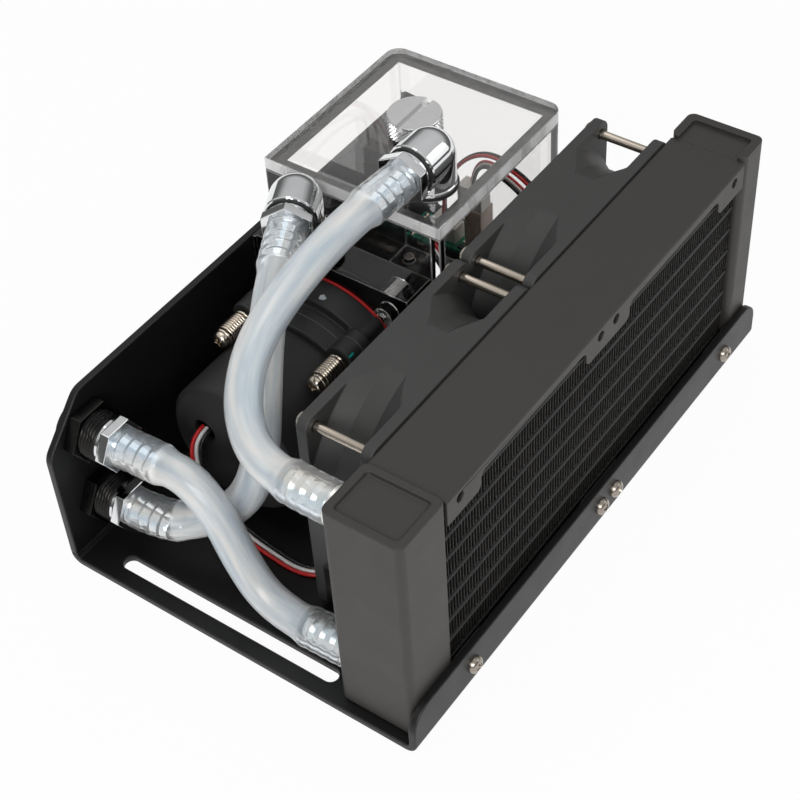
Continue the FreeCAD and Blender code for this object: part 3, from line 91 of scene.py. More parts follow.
class Look:
    """One Principled material and the nodes that vary it; sizes in its patterns are in metres."""

    def __init__(self, name, colour, roughness, **sockets):
        self.material = bpy.data.materials.new(name)
        self.material.use_nodes = True
        self.tree = self.material.node_tree
        self.shader = self.tree.nodes["Principled BSDF"]
        self.colour = colour
        self.fill(self.shader, Base_Color=(*colour, 1), Roughness=roughness, **sockets)
        self.spot = self.add("TexCoord").outputs["Object"]

    def fill(self, node, **sockets):
        for word, value in sockets.items():
            socket = node.inputs[word.replace("_", " ")]
            if isinstance(value, bpy.types.NodeSocket):
                self.tree.links.new(value, socket)
            else:
                socket.default_value = value

    def add(self, kind, **sockets):
        node = self.tree.nodes.new("ShaderNode" + kind)
        self.fill(node, **sockets)
        return node

    def noise(self, grain, detail=2.0, stretch=(1, 1, 1)):
        """Noise whose blotches are about one grain across, longer where stretch is over 1."""
        scale = Vector([1 / (grain * factor) for factor in stretch])
        moved = self.add("Mapping", Vector=self.spot, Scale=scale)
        return self.add("TexNoise", Vector=moved.outputs[0], Scale=1.0, Detail=detail).outputs[0]

    def span(self, value, low, high, start, end):
        """The value's stretch from low to high, laid from start to end and held there."""
        node = self.add("MapRange", Value=value)
        for index, bound in enumerate((low, high, start, end)):
            node.inputs[index + 1].default_value = bound
        return node.outputs[0]

    def work(self, operation, *values):
        node = self.add("Math")
        node.operation = operation
        for value, socket in zip(values, node.inputs):
            self.tree.links.new(value, socket)
        return node.outputs[0]

    def times(self, one, other):
        return self.work("MULTIPLY", one, other)

    def most(self, one, other):
        return self.work("MAXIMUM", one, other)

    def blend(self, factor, one, other):
        """A mix of two colours; sockets 6 and 7 and output 2 are the Mix node's colour ones."""
        node = self.add("Mix")
        node.data_type = "RGBA"
        self.tree.links.new(factor, node.inputs[0])
        for socket, value in ((node.inputs[6], one), (node.inputs[7], other)):
            if isinstance(value, bpy.types.NodeSocket):
                self.tree.links.new(value, socket)
            else:
                socket.default_value = (*value, 1)
        return node.outputs[2]

    def edges(self, radius):
        """Near 1 on edges sharper than the radius, 0 on flat ground."""
        no_edge, full_edge = 0.99, 0.8
        soft = self.add("Bevel", Radius=radius)
        soft.samples = 6
        flat = self.add("NewGeometry").outputs["Normal"]
        dot = self.add("VectorMath")
        dot.operation = "DOT_PRODUCT"
        self.tree.links.new(soft.outputs[0], dot.inputs[0])
        self.tree.links.new(flat, dot.inputs[1])
        return self.span(dot.outputs["Value"], no_edge, full_edge, 0.0, 1.0)

    def facing(self, axis):
        """How far the surface faces along an axis, either way."""
        normal = self.add("NewGeometry").outputs["True Normal"]
        return self.work("ABSOLUTE", self.add("SeparateXYZ", Vector=normal).outputs[axis])

    def rough(self, value, low, high):
        """Roughness between two levels, as a noise goes from low to high."""
        self.fill(self.shader, Roughness=self.span(value, *NOISE_RANGE, low, high))

    def paint(self, factor, other):
        """Blend the present colour towards another."""
        link = self.shader.inputs["Base Color"]
        present = link.links[0].from_socket if link.links else self.colour
        self.fill(self.shader, Base_Color=self.blend(factor, present, other))

    def bump(self, height, depth, strength=1.0):
        node = self.add("Bump", Height=height, Distance=depth, Strength=strength)
        socket = self.shader.inputs["Normal"]
        if socket.links:
            self.tree.links.new(socket.links[0].from_socket, node.inputs["Normal"])
        self.tree.links.new(node.outputs[0], socket)


def painted(name, colour, edge_wear_and_highlight, rough, grain, depth, edge_width=0.5 * MM, **sockets):
    """Paint or moulded plastic: fine grain, uneven gloss, and edges painted lighter, partly as rubbed wear
    and partly as a painted highlight.
    """
    look = Look(name, colour, rough, **sockets)
    look.rough(look.noise(9 * MM, 3), rough - 0.02, rough + 0.03)
    look.bump(look.noise(grain, 3), depth)
    # Edges painted lighter in grainy patches: partly rubbed wear, partly a painted highlight along the edges
    rubbed_and_highlit = look.times(look.edges(edge_width), look.span(look.noise(1.2 * MM, 4), 0.35, 0.65, 0.2, 1.0))
    patches = look.span(look.noise(30 * MM, 2), *NOISE_RANGE, 0.0, 0.35)
    look.paint(patches, tuple(1.12 * part for part in colour))
    look.paint(rubbed_and_highlit, edge_wear_and_highlight)
    return look


def metal(name, colour, low, high, grain, stretch=(1, 1, 1)):
    """Bare metal with uneven gloss and faint darker patches."""
    look = Look(name, colour, low, Metallic=1.0)
    look.rough(look.noise(grain, 3, stretch), low, high)
    look.paint(look.span(look.noise(6 * MM, 2), 0.35, 0.75, 0.0, 0.3), tuple(0.82 * part for part in colour))
    return look


def rubbery(name, colour, rough, **sockets):
    """Rubber, cast parts and soft plastic: fine grain and faint darker patches."""
    look = Look(name, colour, rough, **sockets)
    look.rough(look.noise(3 * MM, 3), rough - 0.08, rough + 0.08)
    look.bump(look.noise(0.25 * MM, 2), 0.02 * MM)
    look.paint(look.span(look.noise(5 * MM, 3), 0.35, 0.7, 0.0, 0.4), tuple(0.8 * part for part in colour))
    return look


def clear_acrylic(name, side_frost=0.0, top_frost_and_shade=0.0, line=0.4):
    """Polished faces, milky along a line at each edge as a painted highlight; frosted sides are milky;
    frosted tank tops are painted dark grey and mottled darker, a painted shade.
    """
    look = Look(name, (0.995, 0.99, 0.985), 0.0, Transmission_Weight=1.0, IOR=1.49)
    streaks = look.span(look.noise(5 * MM, 2, (1, 1, 4)), *NOISE_RANGE, 0.55, 1.0)
    # Milky lines along every edge are a painted highlight; the line sets how wide it is drawn
    frost_and_highlights = look.times(look.edges(line * MM), streaks)
    if side_frost:
        upright = look.span(look.facing("Z"), 0.2, 0.5, side_frost, 0.0)
        frost_and_highlights = look.most(frost_and_highlights, look.times(upright, streaks))
    if top_frost_and_shade:
        height = look.add("SeparateXYZ", Vector=look.spot).outputs["Z"]
        top = look.span(height, (TANK_TOP - 0.3) * MM, (TANK_TOP - 0.1) * MM, 0.0, top_frost_and_shade)
        frost_and_highlights = look.most(frost_and_highlights, top)
        # The tank's top is painted dark grey and mottled darker: a painted shade over the wall tops under the
        # lid
        look.paint(top, (0.125, 0.122, 0.118))
        mottled_shade = look.span(look.noise(2.5 * MM, 2), 0.4, 0.65, 0.0, 0.7)
        look.paint(look.times(top, mottled_shade), (0.07, 0.07, 0.07))
    look.fill(look.shader, Transmission_Weight=look.span(frost_and_highlights, 0.0, 1.0, 1.0, 0.08),
              Roughness=look.span(frost_and_highlights, 0.0, 1.0, 0.0, 0.4))
    return look


def hose_silicone():
    """Milky silicone: part glass, part white bulk, streaked along its run and clearer where it is thin."""
    look = Look("hose_silicone", (0.86, 0.94, 1.0), 0.14, IOR=1.41,
                Sheen_Weight=0.4, Sheen_Roughness=0.2, Sheen_Tint=(1.0, 0.95, 0.86, 1.0))
    skin, thin = look.add("Attribute"), look.add("Attribute")
    skin.attribute_name, thin.attribute_name = "skin", "thin"
    streaks = look.add("TexNoise", Vector=skin.outputs["Vector"], Scale=1.5, Detail=2.0).outputs[0]
    bulk = look.span(streaks, 0.35, 0.65, 0.68, 0.50)
    stretched = look.span(thin.outputs["Fac"], 0.0, 1.0, 0.0, 0.88)
    look.fill(look.shader, Transmission_Weight=look.most(bulk, stretched))
    look.rough(look.noise(9 * MM, 2), 0.09, 0.16)
    look.paint(look.span(streaks, 0.38, 0.66, 0.0, 1.0), (1.0, 0.985, 0.96))
    return look


def board_green():
    """Solder mask with raised tracks."""
    look = Look("board_green", (0.012, 0.16, 0.10), 0.3)
    tracks = look.add("TexBrick", Vector=look.spot, Scale=1 / (9 * MM), Mortar_Size=0.04)
    look.paint(tracks.outputs[1], (0.03, 0.30, 0.19))
    look.bump(tracks.outputs[1], 0.04 * MM)
    look.rough(look.noise(4 * MM, 2), 0.25, 0.4)
    return look


# Looks by the name of a slot, of a solid that differs from its slot, or of a piece's own finish. After the
# colour, paint has its edge colour, for wear and a painted highlight, then roughness, grain and depth, and
# metal two roughnesses and its grain
LOOKS = {
    "tray_black": painted("tray_black", (0.006, 0.006, 0.006), (0.10, 0.095, 0.09), 0.42,
                          0.35 * MM, 0.05 * MM, Specular_IOR_Level=0.35),
    "radiator_black": painted("radiator_black", (0.0305, 0.0277, 0.0248), (0.08, 0.074, 0.067), 0.5,
                              0.5 * MM, 0.02 * MM),
    "core_black": painted("core_black", (0.010, 0.0095, 0.009), (0.06, 0.057, 0.053), 0.45,
                          0.3 * MM, 0.02 * MM),
    "radiator_tubes": painted("tube_black", (0.004, 0.004, 0.0038), (0.03, 0.029, 0.027), 0.38,
                              0.3 * MM, 0.02 * MM, Specular_IOR_Level=0.3),
    "fin_black": painted("fin_black", (0.012, 0.0115, 0.011), (0.07, 0.067, 0.062), 0.5,
                         0.3 * MM, 0.02 * MM, Specular_IOR_Level=0.25),
    "fan_plastic": painted("fan_plastic", (0.036, 0.036, 0.035), (0.08, 0.08, 0.077), 0.55,
                           0.22 * MM, 0.05 * MM),
    "nickel": metal("nickel", (0.68, 0.60, 0.505), 0.14, 0.26, 4 * MM),
    "lip_steel": metal("lip_steel", (0.36, 0.32, 0.275), 0.16, 0.3, 3 * MM),
    "insert_zinc": rubbery("insert_zinc", (0.82, 0.81, 0.79), 0.3, Metallic=0.2),
    "bearing_bronze": metal("bearing_bronze", (0.45, 0.30, 0.15), 0.35, 0.5, 0.6 * MM),
    "pump_black": painted("pump_black", (0.018, 0.018, 0.018), (0.05, 0.05, 0.05), 0.55,
                          0.3 * MM, 0.03 * MM),
    "clamp_black": painted("clamp_black", (0.016, 0.016, 0.016), (0.05, 0.05, 0.05), 0.5,
                           0.4 * MM, 0.03 * MM),
    "gasket_red": rubbery("gasket_red", (0.50, 0.02, 0.02), 0.45),
    # Each acrylic's line is the width of its painted edge highlight
    "clear_acrylic": clear_acrylic("clear_acrylic"),
    "reservoir_lid": clear_acrylic("lid_acrylic", side_frost=1.0, line=0.6),
    # The tank's frosted top also carries painted shade in dark grey
    "reservoir_tank": clear_acrylic("tank_acrylic", top_frost_and_shade=1.0, line=1.2),
    "radiator_barbs": metal("stub_satin", (0.86, 0.84, 0.80), 0.22, 0.34, 4 * MM),
    "chrome": metal("chrome", (0.80, 0.81, 0.82), 0.03, 0.09, 5 * MM),
    "plug_satin": metal("plug_satin", (0.82, 0.825, 0.82), 0.24, 0.34, 5 * MM),
    "coupling_black": metal("coupling_black", (0.03, 0.029, 0.028), 0.26, 0.4, 1.0 * MM),
    "seal_black": rubbery("seal_black", (0.012, 0.012, 0.012), 0.45),
    "stator_iron": metal("stator_iron", (0.28, 0.18, 0.12), 0.35, 0.55, 0.6 * MM, (6, 1, 1)),
    "inner_plastic": rubbery("inner_plastic", (0.12, 0.12, 0.12), 0.4),
    "hose_silicone": hose_silicone(),
    "board_green": board_green(),
    "board_beige": rubbery("board_beige", (0.56, 0.44, 0.37), 0.45),
    "connector_white": rubbery("connector_white", (0.84, 0.82, 0.77), 0.35),
    "standoff_white": rubbery("standoff_white", (0.72, 0.71, 0.68), 0.4),
    "white_paint": rubbery("white_paint", (0.40, 0.45, 0.48), 0.5),
    "teal_paint": rubbery("teal_paint", (0.0, 0.33, 0.30), 0.4),
    # A lighter grey for the clamp's parting line: a painted highlight on its ridge
    "seam_highlight_grey": rubbery("seam_highlight_grey", (0.07, 0.07, 0.07), 0.4),
    "wire_red": rubbery("wire_red", (0.62, 0.02, 0.02), 0.3),
    "wire_white": rubbery("wire_white", (0.80, 0.79, 0.77), 0.3),
    "wire_black": rubbery("wire_black", (0.012, 0.012, 0.012), 0.3),
}


# Solids of the frame: each takes its own look or its slot's, and some get edges rounded, in millimetres

SHARP_FROM = 22
ROUNDED_FROM = 40
WELD_REACH = 0.002
FLAT_WITHIN = 0.5
LID_AIR_GAP = 0.02
SOFTENED = {
    "tray": 0.45, "tray_wall": 0.45, "radiator_near_tank": 0.55,
    "radiator_top_plate": 0.2, "radiator_bottom_plate": 0.2, "radiator_tubes": 0.9,
    "fan_frame_near": 0.4, "fan_frame_far": 0.4, "pump_housing": 0.5, "pump_flange": 0.5, "pump_top": 0.3,
    "reservoir_tank": 0.3, "reservoir_lid": 0.35,
    "lid_barb": 0.35, "outlet_barb": 0.35, "bulkhead_barbs": 0.35, "bulkhead_nuts": 0.5,
    "board_block": 0.4, "board_connectors": 0.3,
}


def smoothing():
    """A node group that shades a mesh smooth except over sharp edges."""
    tree = bpy.data.node_groups.new("SmoothByAngle", "GeometryNodeTree")
    for way in ("INPUT", "OUTPUT"):
        tree.interface.new_socket("Geometry", in_out=way, socket_type="NodeSocketGeometry")
    start, end = tree.nodes.new("NodeGroupInput"), tree.nodes.new("NodeGroupOutput")
    faces, sharp = tree.nodes.new("GeometryNodeSetShadeSmooth"), tree.nodes.new("GeometryNodeSetShadeSmooth")
    angle, limit = tree.nodes.new("GeometryNodeInputMeshEdgeAngle"), tree.nodes.new("FunctionNodeCompare")
    sharp.domain = "EDGE"
    limit.operation = "LESS_THAN"
    limit.inputs[1].default_value = math.radians(SHARP_FROM)
    tree.links.new(start.outputs[0], faces.inputs[0])
    tree.links.new(faces.outputs[0], sharp.inputs[0])
    tree.links.new(angle.outputs[0], limit.inputs[0])
    tree.links.new(limit.outputs[0], sharp.inputs["Shade Smooth"])
    tree.links.new(sharp.outputs[0], end.inputs[0])
    return tree


def rounded(item, width):
    """Add a modifier that rounds the edges which turn far enough."""
    edge = item.modifiers.new("Edge", "BEVEL")
    edge.width = width * MM
    edge.segments = 2
    edge.limit_method = "ANGLE"
    edge.angle_limit = math.radians(ROUNDED_FROM)
    return edge


def soften(item, width, group):
    """Join the facets of each flat face, round its edges and shade it smooth."""
    normals = item.data.attributes.get("custom_normal")
    if normals:
        item.data.attributes.remove(normals)
    item.modifiers.new("Weld", "WELD").merge_threshold = WELD_REACH * MM
    flat = item.modifiers.new("Flat", "DECIMATE")
    flat.decimate_type = "DISSOLVE"
    flat.angle_limit = math.radians(FLAT_WITHIN)
    rounded(item, width).use_clamp_overlap = False
    item.modifiers.new("Smooth", "NODES").node_group = group
    level = item.modifiers.new("Level", "WEIGHTED_NORMAL")
    level.keep_sharp = True
    level.weight = 100


def dress_nodes():
    """Give every node its look; the lid is drawn in a hair so that its faces do not lie in the tank's."""
    group = smoothing()
    for row in frame["record"]["subparts"]:
        item = nodes[row["node"]]
        item.data.materials.clear()
        look = LOOKS.get(row["node"]) or LOOKS[row["material_slot"]]
        item.data.materials.append(look.material)
        if row["node"] in SOFTENED:
            soften(item, SOFTENED[row["node"]], group)
    skin = nodes["reservoir_lid"].modifiers.new("AirGap", "DISPLACE")
    skin.mid_level = 0.0
    skin.strength = -LID_AIR_GAP * MM


# Shapes: each is (points, faces) in millimetres, placed by a matrix

def lathe(profile, segments=48, pitch=1.0):
    """Rings of (radius, height) about Z; a third value is a function of step and phase for a cut's depth."""
    points, faces, rings = [], [], []
    for radius, height, *cut in profile:
        ring = []
        for step in range(segments if radius else 1):
            here = radius - (cut[0](step, (height / pitch - step / segments) % 1.0) if cut else 0.0)
            turn = 2 * math.pi * step / segments
            ring.append(len(points))
            points.append((here * math.cos(turn), here * math.sin(turn), height))
        rings.append(ring)
    for low, high in zip(rings, rings[1:]):
        for step in range(segments):
            corners = [low[step % len(low)], low[(step + 1) % len(low)],
                       high[(step + 1) % len(high)], high[step % len(high)]]
            face = list(dict.fromkeys(corners))
            if len(face) > 2:
                faces.append(face)
    return points, faces


def thread(radius, start, end, depth, pitch):
    """Ring rows for a screw thread along a stretch of a lathe profile."""
    rows_a_turn = 6
    count = max(2, int(abs(end - start) / pitch * rows_a_turn))

    def groove(step, phase):
        return depth * abs(2 * phase - 1)

    return [(radius, start + (end - start) * row / count, groove) for row in range(count + 1)]


def knurl(radius, start, end, rows, depth, crossed):
    """Ring rows for a knurl: upright teeth, or crossed ones for small pyramids; two segments make a tooth."""

    def tooth(row):
        return lambda step, phase: depth * ((step + (row if crossed else 0)) % 2)

    return [(radius, start + (end - start) * row / rows, tooth(row)) for row in range(rows + 1)]


def pyramids(shape):
    """The same shape with each bent quad split along its lower diagonal, so that its peaks stand apart."""
    least_bend = 0.2
    points, faces = shape
    reach = [math.hypot(x, y) for x, y, _ in points]
    split = []
    for face in faces:
        if len(face) < 4:
            split.append(face)
            continue
        first, second, third, fourth = face
        bend = reach[first] + reach[third] - reach[second] - reach[fourth]
        if abs(bend) < least_bend:
            split.append(face)
            continue
        if bend < 0:
            first, second, third, fourth = second, third, fourth, first
        split += [[first, second, fourth], [third, fourth, second]]
    return points, split


def block(low, high):
    """A box between two corners."""
    points = [(x, y, z) for x in (low[0], high[0]) for y in (low[1], high[1]) for z in (low[2], high[2])]
    return points, [[0, 1, 3, 2], [4, 6, 7, 5], [0, 4, 5, 1], [2, 3, 7, 6], [0, 2, 6, 4], [1, 5, 7, 3]]


def prism(outline, low, high, taper=1.0):
    """An outline drawn up along Z, its low end scaled by the taper."""
    count = len(outline)
    points = [(x * taper, y * taper, low) for x, y in outline] + [(x, y, high) for x, y in outline]
    faces = [[step, (step + 1) % count, count + (step + 1) % count, count + step] for step in range(count)]
    return points, faces + [list(range(count))[::-1], [count + step for step in range(count)]]


def tube(line, radii, segments=28):
    """Rings square to a line of points; radii gives each ring's (outer, inner) radius, inner 0 for a rod."""
    headings = [(after - before).normalized() for before, after in
                zip([line[0]] + line[:-1], line[1:] + [line[-1]])]
    side = headings[0].orthogonal().normalized()
    layers = [[], []]
    for spot, heading, pair in zip(line, headings, radii):
        side = (side - heading * side.dot(heading)).normalized()
        up = heading.cross(side)
        for layer, radius in zip(layers, pair):
            turns = [2 * math.pi * step / segments for step in range(segments)]
            layer.append([spot + (side * math.cos(turn) + up * math.sin(turn)) * radius for turn in turns])
    rings = layers[0] + layers[1][::-1] if radii[0][1] else layers[0]
    points = [point for ring in rings for point in ring]
    count = len(rings)
    faces = []
    for row in range(count if radii[0][1] else count - 1):
        here, following = row * segments, (row + 1) % count * segments
        for step in range(segments):
            after = (step + 1) % segments
            faces.append([here + step, here + after, following + after, following + step])
    if not radii[0][1]:
        faces += [list(range(segments))[::-1], [(count - 1) * segments + step for step in range(segments)]]
    return points, faces


def towards(axis, spot, turn=0.0):
    """Stand a shape's Z along an axis at a spot."""
    return Matrix.Translation(Vector(spot)) @ Z.rotation_difference(axis).to_matrix().to_4x4() \
        @ Matrix.Rotation(turn, 4, "Z")


def moved(shape, matrix):
    points, faces = shape
    return [tuple(matrix @ Vector(point)) for point in points], faces


def joined(shapes):
    points, faces = [], []
    for some, sides in shapes:
        first = len(points)
        points += some
        faces += [[first + corner for corner in side] for side in sides]
    return points, faces


def raw_object(name, shape):
    points, faces = shape
    mesh = bpy.data.meshes.new(name)
    mesh.from_pydata([Vector(point) * MM for point in points], [], faces)
    work = bmesh.new()
    work.from_mesh(mesh)
    bmesh.ops.recalc_face_normals(work, faces=work.faces)
    work.to_mesh(mesh)
    work.free()
    item = bpy.data.objects.new(name, mesh)
    bpy.context.scene.collection.objects.link(item)
    return item


def carved(shape, tool):
    """The first shape with the second cut out of it."""
    item, cutter = raw_object("carved", shape), raw_object("cutter", tool)
    cut = item.modifiers.new("Cut", "BOOLEAN")
    cut.operation = "DIFFERENCE"
    cut.object = cutter
    mesh = bpy.data.meshes.new_from_object(item.evaluated_get(bpy.context.evaluated_depsgraph_get()))
    points = [tuple(vertex.co / MM) for vertex in mesh.vertices]
    faces = [list(face.vertices) for face in mesh.polygons]
    for done in (item, cutter):
        bpy.data.objects.remove(done)
    return points, faces


def piece(name, shapes, slot, stands_for=(), body="base", sharp=32, bevel=0.0, look=None):
    """One finished object of the unit, riding on a body and painted as its slot says."""
    item = raw_object(name, joined(shapes))
    item.data.materials.append((look or LOOKS[slot]).material)
    item.data.shade_smooth()
    item.data.set_sharp_from_angle(angle=math.radians(sharp))
    if bevel:
        rounded(item, bevel)
    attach(item, body)
    if stands_for:
        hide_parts(*stands_for)
    return item


# Hoses and wires: each follows a smooth spline through its route's control points

HOSES = {
    "hose_return": [
        (-85.5, 48.95, 47.85), (-85.5, 35.5, 48.9), (-85.6, 22.7, 49.5), (-86.1, 13.2, 40.0),
        (-86.8, 6.7, 25.5), (-87.4, -1.3, 14.0), (-87.9, -13.3, 11.0), (-88.0, -23.8, 12.0),
        (-88.0, -34.05, 12.35)],
    "hose_supply": [
        (-15.97, 36.64, 86.1), (-28.0, 30.3, 86.0), (-41.0, 23.9, 83.0), (-52.0, 18.2, 75.5),
        (-62.0, 12.2, 64.5), (-68.0, 9.7, 52.5), (-71.5, 11.2, 41.0), (-74.5, 16.2, 31.0),
        (-79.0, 24.5, 24.0), (-85.0, 35.3, 20.8), (-85.5, 48.95, 20.35)],
    "hose_feed": [
        (-88.0, -34.05, 75.75), (-88.0, -22.3, 75.6), (-86.8, -10.3, 75.2), (-81.5, 0.7, 75.5),
        (-73.0, 9.2, 79.5), (-61.5, 14.0, 86.0), (-47.0, 15.7, 90.8), (-30.0, 14.7, 96.3),
        (-10.0, 12.9, 100.0), (8.7, 11.65, 99.2)],
}
HOSE_DIAMETER = 11.5
HOSE_BORE = 8.4
HOSE_PLAIN = (HOSE_DIAMETER / 2 - 0.25, HOSE_BORE / 2 - 0.1)
HOSE_SWELL = (0.9, 0.2)
HOSE_RIPPLE = (0.08, 0.05)
HOSE_TAPER = 4.5
HOSE_CLEARING = 3.0
HOSE_STREAK = 50.0
HOSE_SIDES = 40
MOUTH_DEPTH = 0.6
MOUTH_ROUND = 0.25
BARB_LENGTH = 15.0
BARB_STEP = BARB_LENGTH / 4

PUMP_WIRES = [
    (-57.5, 43.3, 35.0), (-62.0, 43.3, 34.6), (-65.2, 42.9, 29.5), (-66.3, 40.7, 20.5),
    (-66.8, 34.7, 10.5), (-67.3, 25.7, 4.4), (-68.6, 12.7, 3.45), (-69.5, 0.7, 3.45),
    (-65.0, -7.8, 3.45), (-54.0, -10.3, 3.45), (-26.0, -9.7, 3.45), (20.0, -10.3, 3.45),
    (60.0, -9.7, 3.45), (80.0, -7.3, 4.0), (91.0, 0.7, 10.0), (94.0, 10.7, 23.0),
    (93.0, 23.7, 36.0), (90.5, 32.7, 43.0), (87.6, 36.9, 41.0), (87.0, 37.7, 34.0)]
BOARD_WIRES = [
    (84.9, 49.2, 14.6), (84.9, 49.0, 21.0), (85.6, 47.5, 31.0), (87.0, 42.7, 40.0),
    (88.2, 35.2, 46.0), (88.8, 26.7, 46.5), (89.0, 17.2, 41.0), (88.5, 8.2, 32.5),
    (87.0, 0.2, 23.0), (84.5, -3.8, 14.5), (80.0, -5.9, 9.5), (74.8, -8.9, 7.5), (74.8, -12.05, 7.5)]
WIRE_DIAMETER = 1.3
WIRE_PITCH = 1.5


def spline(name, route):
    """A curve of one smooth spline with the route's points, in millimetres, as its control points."""
    curve = bpy.data.curves.new(name, "CURVE")
    curve.dimensions = "3D"
    curve.resolution_u = 24
    run = curve.splines.new("NURBS")
    run.points.add(len(route) - 1)
    for point, spot in zip(run.points, route):
        point.co = (*(Vector(spot) * MM), 1.0)
    run.order_u = 3
    run.use_endpoint_u = True
    item = bpy.data.objects.new(name, curve)
    bpy.context.scene.collection.objects.link(item)
    return item


def line_of(item):
    """Points along a curve with no bevel, in millimetres, and the distance of each from the start."""
    mesh = bpy.data.meshes.new_from_object(item)
    line = [vertex.co / MM for vertex in mesh.vertices]
    distances = [0.0]
    for before, after in zip(line, line[1:]):
        distances.append(distances[-1] + (after - before).length)
    return line, distances


def ease(share):
    """A smooth rise from 0 to 1."""
    share = min(1.0, max(0.0, share))
    return share * share * (3 - 2 * share)


def hose_radii(distance, length):
    """Outer and inner radius: stretched over the stub's ridges at both ends, plain between."""
    from_end = min(distance, length - distance)
    stretch = 1 - ease((from_end - BARB_LENGTH) / HOSE_TAPER)
    ripple = math.cos(2 * math.pi * from_end / BARB_STEP)
    outer, inner = [plain + stretch * (swell + height * ripple)
                    for plain, swell, height in zip(HOSE_PLAIN, HOSE_SWELL, HOSE_RIPPLE)]
    mouth = MOUTH_ROUND * (1 - ease(from_end / MOUTH_DEPTH))
    return outer - mouth, inner


def make_hoses():
    """Hoses as tubes along their splines; their material reads where they are thin and how the skin runs."""
    for name, route in HOSES.items():
        guide = spline(name + "_line", route)
        line, distances = line_of(guide)
        bpy.data.objects.remove(guide)
        length = distances[-1]
        radii = [hose_radii(distance, length) for distance in distances]
        hose = piece(name + "_soft", [tube(line, radii, HOSE_SIDES)], "hose_silicone", [name], sharp=60)
        ends = [1 - ease((min(distance, length - distance) - BARB_LENGTH) / HOSE_CLEARING)
                for distance in distances]
        thin = hose.data.attributes.new("thin", "FLOAT", "POINT")
        thin.data.foreach_set("value", [share for share in ends + ends[::-1] for _ in range(HOSE_SIDES)])
        turns = [2 * math.pi * step / HOSE_SIDES for step in range(HOSE_SIDES)]
        skin = hose.data.attributes.new("skin", "FLOAT_VECTOR", "POINT")
        skin.data.foreach_set("vector", [
            number for distance in distances + distances[::-1] for turn in turns
            for number in (math.cos(turn), math.sin(turn), distance / HOSE_STREAK)])


def beside(route, distance):
    """The same route moved level, to the left of its heading."""
    spots = [Vector(spot) for spot in route]
    shifted = []
    for index, spot in enumerate(spots):
        heading = spots[min(index + 1, len(spots) - 1)] - spots[max(index - 1, 0)]
        if math.hypot(heading.x, heading.y) > 1e-6:
            side = Vector((-heading.y, heading.x, 0)).normalized()
        shifted.append(spot + side * distance)
    return shifted


def make_wires():
    for stem, route, colours in (("pump_lead_", PUMP_WIRES, ("red", "white", "black")),
                                 ("board_lead_", BOARD_WIRES, ("red", "black"))):
        for step, colour in enumerate(colours):
            own = beside(route, step * WIRE_PITCH)
            wire = spline(stem + colour + "_wire", own)
            length = line_of(wire)[1][-1]
            wire.data.bevel_depth = WIRE_DIAMETER / 2 * MM
            wire.data.bevel_resolution = 3
            wire.data.resolution_u = 8
            wire.data.use_fill_caps = True
            wire.data.materials.append(LOOKS["wire_" + colour].material)
            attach(wire, "base")
            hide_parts(stem + colour)


# Screws, springs and inserts

HEAD_HEIGHT = 2.0
HEAD_PROFILE = [(0, HEAD_HEIGHT), (1.2, 1.96), (2.0, 1.75), (2.55, 1.3), (2.85, 0.6), (2.9, 0.0)]
SMALL_RADIUS = 1.5
SMALL_PITCH = 0.5
TANK_SCREW_RADIUS = 2.0
TANK_SCREW_PITCH = 0.7
TANK_HEAD_RADIUS = 3.8
RECESS_DEPTH = 1.3
INSERT_RADIUS = 3.4
INSERT_LENGTH = 8.0
INSERT_BAND = 3.2
INSERT_GROOVE = 2.9


def cross_recess(level, span, depth):
    """The tool that cuts a cross recess: a tapered cross down from a level."""
    arm, half = span / 2, 0.42
    above, taper = 0.4, 0.55
    corners = [(arm, -half), (arm, half), (half, half), (half, arm), (-half, arm), (-half, half),
               (-arm, half), (-arm, -half), (-half, -half), (-half, -arm), (half, -arm), (half, -half)]
    return prism(corners, level - depth, level + above, taper)


def pan_screw(length, threaded):
    """A domed screw, its seat at zero and its shank running down; the thread is at its end."""
    groove, point = 0.14, 0.6
    head = HEAD_PROFILE + [(SMALL_RADIUS, 0.0)]
    shank = thread(SMALL_RADIUS, -length + threaded, -length + point, groove, SMALL_PITCH)
    end = [(1.1, -length), (0, -length)]
    recess = cross_recess(HEAD_HEIGHT, span=3.3, depth=RECESS_DEPTH)
    return carved(lathe(head + shank + end, 40, SMALL_PITCH), recess)


def sunk_screw():
    """A countersunk screw, its flat head at zero and its shank running down."""
    groove = 0.16
    head = [(0, 0), (TANK_HEAD_RADIUS, 0), (TANK_SCREW_RADIUS, TANK_SCREW_RADIUS - TANK_HEAD_RADIUS)]
    shank = thread(TANK_SCREW_RADIUS, -2.0, -6.2, groove, TANK_SCREW_PITCH) + [(0, -6.5)]
    recess = cross_recess(0.0, span=3.8, depth=RECESS_DEPTH)
    return carved(lathe(head + shank, 40, TANK_SCREW_PITCH), recess)


def coil(turns, radius, wire, length):
    """A spring along Z from zero, its turns a little wider apart at both ends."""
    steps, end_rise = 22, 0.06
    end_share = 1 / 9
    count = int(turns * steps)
    line = []
    for step in range(count + 1):
        share = step / count
        turn = 2 * math.pi * turns * share
        ends = ease(share / end_share) + ease((share - 1 + end_share) / end_share)
        height = wire / 2 + (length - wire) * (end_rise * ends + (1 - 2 * end_rise) * share)
        line.append(Vector((radius * math.cos(turn), radius * math.sin(turn), height)))
    return tube(line, [(wire / 2, 0)] * len(line), 10)


def insert():
    """A threaded insert: two bands of upright knurling and a groove between them."""
    teeth, depth, step = 26, 0.3, 0.1
    rest = INSERT_LENGTH - INSERT_BAND
    lower = [(0, 0)] + knurl(INSERT_RADIUS, 0.0, INSERT_BAND, 1, depth, crossed=False)
    groove = [(INSERT_GROOVE, INSERT_BAND + step), (INSERT_GROOVE, rest - step)]
    upper = knurl(INSERT_RADIUS, rest, INSERT_LENGTH, 1, depth, crossed=False) + [(0, INSERT_LENGTH)]
    return lathe(lower + groove + upper, 2 * teeth)


